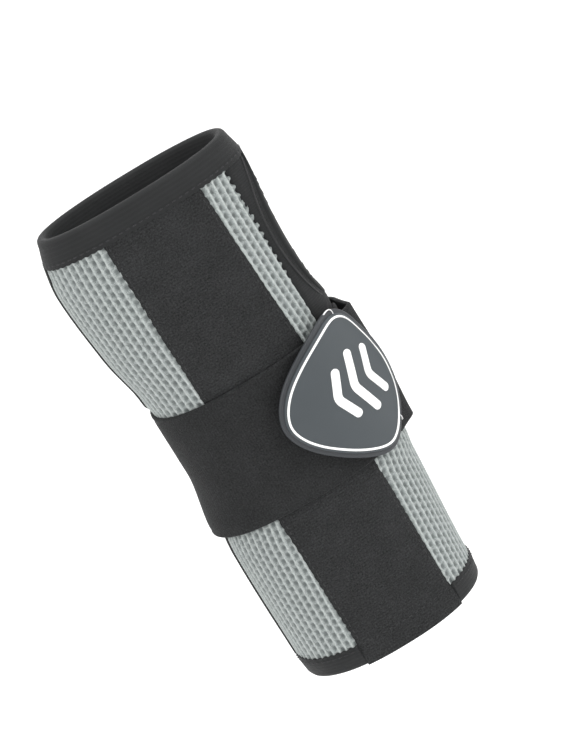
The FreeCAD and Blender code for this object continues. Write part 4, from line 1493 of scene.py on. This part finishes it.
def build_camera():
    lens = bpy.data.cameras.new("camera")
    lens.sensor_fit = "VERTICAL"
    lens.sensor_height = 24.0
    lens.lens = lens.sensor_height * CAMERA_DISTANCE / FRAME_HEIGHT
    camera = bpy.data.objects.new("camera", lens)
    rise = math.radians(CAMERA_ELEVATION)
    aim = Vector(CAMERA_AIM)
    camera.location = aim + Vector((0, -math.cos(rise), math.sin(rise))) * CAMERA_DISTANCE
    look = (aim - camera.location).to_track_quat("-Z", "Y")
    roll = Matrix.Rotation(-math.radians(CAMERA_ROLL), 4, "Z")
    camera.rotation_euler = (look.to_matrix().to_4x4() @ roll).to_euler()
    bpy.context.scene.collection.objects.link(camera)
    bpy.context.scene.camera = camera


# ------------------------------------------------------------------ put together
def hinge(name):
    for joint in frame["joints"]:
        if joint["name"] == name:
            return Vector(joint["pos_m"])
    raise KeyError(name)


def dress(piece, body, material, slot, *nodes):
    """Fixes a piece to its body, hides the frame's nodes it stands for and gives it its material."""
    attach(piece, body)
    if nodes:
        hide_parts(*nodes)
    paint(piece, material)


def bend_round(piece, joint, way):
    """Looks up the joint's hinge and bakes the strap length's placement into its points."""
    pivot, way = hinge(joint), Vector(way)
    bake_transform(piece)


def build_sleeve_cloth(mesh, brushed, stretch, lining):
    ulnar, radial = build_mesh_panels()
    pocket, backing, thumb, back = build_black_panels()
    palmar, dorsal = build_linings()
    for panel, material, slot, node in (
        (ulnar, mesh, "spacer_mesh", "ulnar_mesh_panel"),
        (radial, mesh, "spacer_mesh", "radial_mesh_panel"),
        (pocket, brushed, "brushed_loop", "stay_pocket_panel"),
        (backing, lining, "lining", "pocket_backing"),
        (thumb, stretch, "stretch_fabric", "thumb_panel"),
        (back, stretch, "stretch_fabric", "dorsal_stretch_panel"),
        (palmar, lining, "lining", "palmar_lining"),
        (dorsal, lining, "lining", "dorsal_lining"),
    ):
        dress(panel, "sleeve", material, slot, node)
        declare_cloth(panel)


def build_sleeve_edges(tape, brushed, thread):
    hand = ring_binding("hand_rim_binding", HAND_RIM, -1, HAND_RIM - HAND_BINDING_EDGE, 0.6, False, 21)
    forearm = ring_binding("forearm_rim_binding", 0.0, 1, FOREARM_BINDING_EDGE, 0.8, True, 22)
    thumb, hem = build_thumb_binding(), build_hem()
    ulnar_piping, radial_piping = build_piping()
    for edging, material, node in (
        (hand, tape, "distal_binding"),
        (forearm, tape, "proximal_binding"),
        (thumb, tape, "thumb_binding"),
        (hem, brushed, "pocket_mouth_hem"),
        (ulnar_piping, tape, "ulnar_seam_piping"),
        (radial_piping, tape, "radial_seam_piping"),
    ):
        dress(edging, "sleeve", material, "binding", node)
    nodes = ("distal_binding_stitching", "proximal_binding_stitching", "pocket_hem_stitching",
             "pocket_seam_stitching", "thumb_panel_stitching", "strap_anchor_stitching")
    for row, node in zip((*build_stitching(), build_anchor_stitches()), nodes):
        dress(row, "sleeve", thread, "thread", node)


def build_strap_lengths(strap_nap):
    front, middle, along = build_strap()
    end = build_strap_end(along)
    bend_round(front, "strap_dorsal_hinge", (0.1, 0.995, 0.0))
    bend_round(middle, "strap_radial_hinge", (0.86, -0.5, 0.0))
    bend_round(end, "strap_end_hinge", (0.1, -0.995, 0.0))
    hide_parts("wrist_strap_front", "wrist_strap_dorsal")
    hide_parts("wrist_strap_radial")
    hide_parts("wrist_strap_end")
    for length in (front, middle, end):
        paint(length, strap_nap)
        declare_cloth(length)


def build_tab_pieces(rim, face, white, hooks):
    base, cushion, line = build_tab()
    dress(base, "strap_end", rim, "tab_rim", "tab_base")
    dress(cushion, "strap_end", face, "tab_face", "tab_face")
    dress(line, "strap_end", white, "tab_mark", "tab_outline")
    dress(build_corner_runs(), "strap_end", white, "tab_mark")
    dress(build_chevrons(), "strap_end", white, "tab_mark", "tab_chevrons")
    dress(build_hook_pad(), "strap_end", hooks, "hook_tape", "hook_pad")
    dress(build_hooks(), "strap_end", hooks, "hook_tape")


def colour_stay():
    """The stay keeps the frame's own shape and gets its materials."""
    metal, dip = brushed_metal_material(), dipped_material()
    for node, material in (("palmar_stay", metal), ("stay_tip_proximal", dip), ("stay_tip_distal", dip)):
        stay_mesh = frame["nodes"][node].data
        stay_mesh.materials.clear()
        stay_mesh.materials.append(material)


def build_all():
    build_camera()
    build_light()
    build_stage()
    mesh = spacer_mesh_material()
    pocket_nap = brushed_material("brushed_loop", (10, 11, 11), (58, 59, 60), 0.0004, "along")
    strap_nap = brushed_material("strap_loop", (9, 10, 10), (50, 51, 52), 0.0003, "across")
    stretch = knit_material("stretch_knit", (14, 15, 15), (38, 39, 40), 0.9, 1.1, 0.0002, 0.03)
    lining = knit_material("lining_knit", (14, 14, 15), (38, 38, 39), 1.1, 1.2, 0.0002, 0.03)
    tape = knit_material("binding_tape", (15, 16, 16), (38, 39, 40), 0.55, 1.6, 0.00012, 0.04, 0.66)
    thread = thread_material()
    rim = moulded_material("tab_rim_rubber", (38, 41, 44), (48, 51, 55), 0.5, 0.00006)
    face = moulded_material("tab_face_rubber", (52, 58, 61), (61, 67, 71), 0.52, 0.00008)
    white = moulded_material("white_rubber", (238, 238, 236), (248, 248, 247), 0.5, 0.00004)
    hooks = moulded_material("hook_plastic", (22, 22, 24), (38, 38, 41), 0.4, 0.00004)
    build_sleeve_cloth(mesh, pocket_nap, stretch, lining)
    build_sleeve_edges(tape, pocket_nap, thread)
    build_strap_lengths(strap_nap)
    build_tab_pieces(rim, face, white, hooks)
    colour_stay()


build_all()
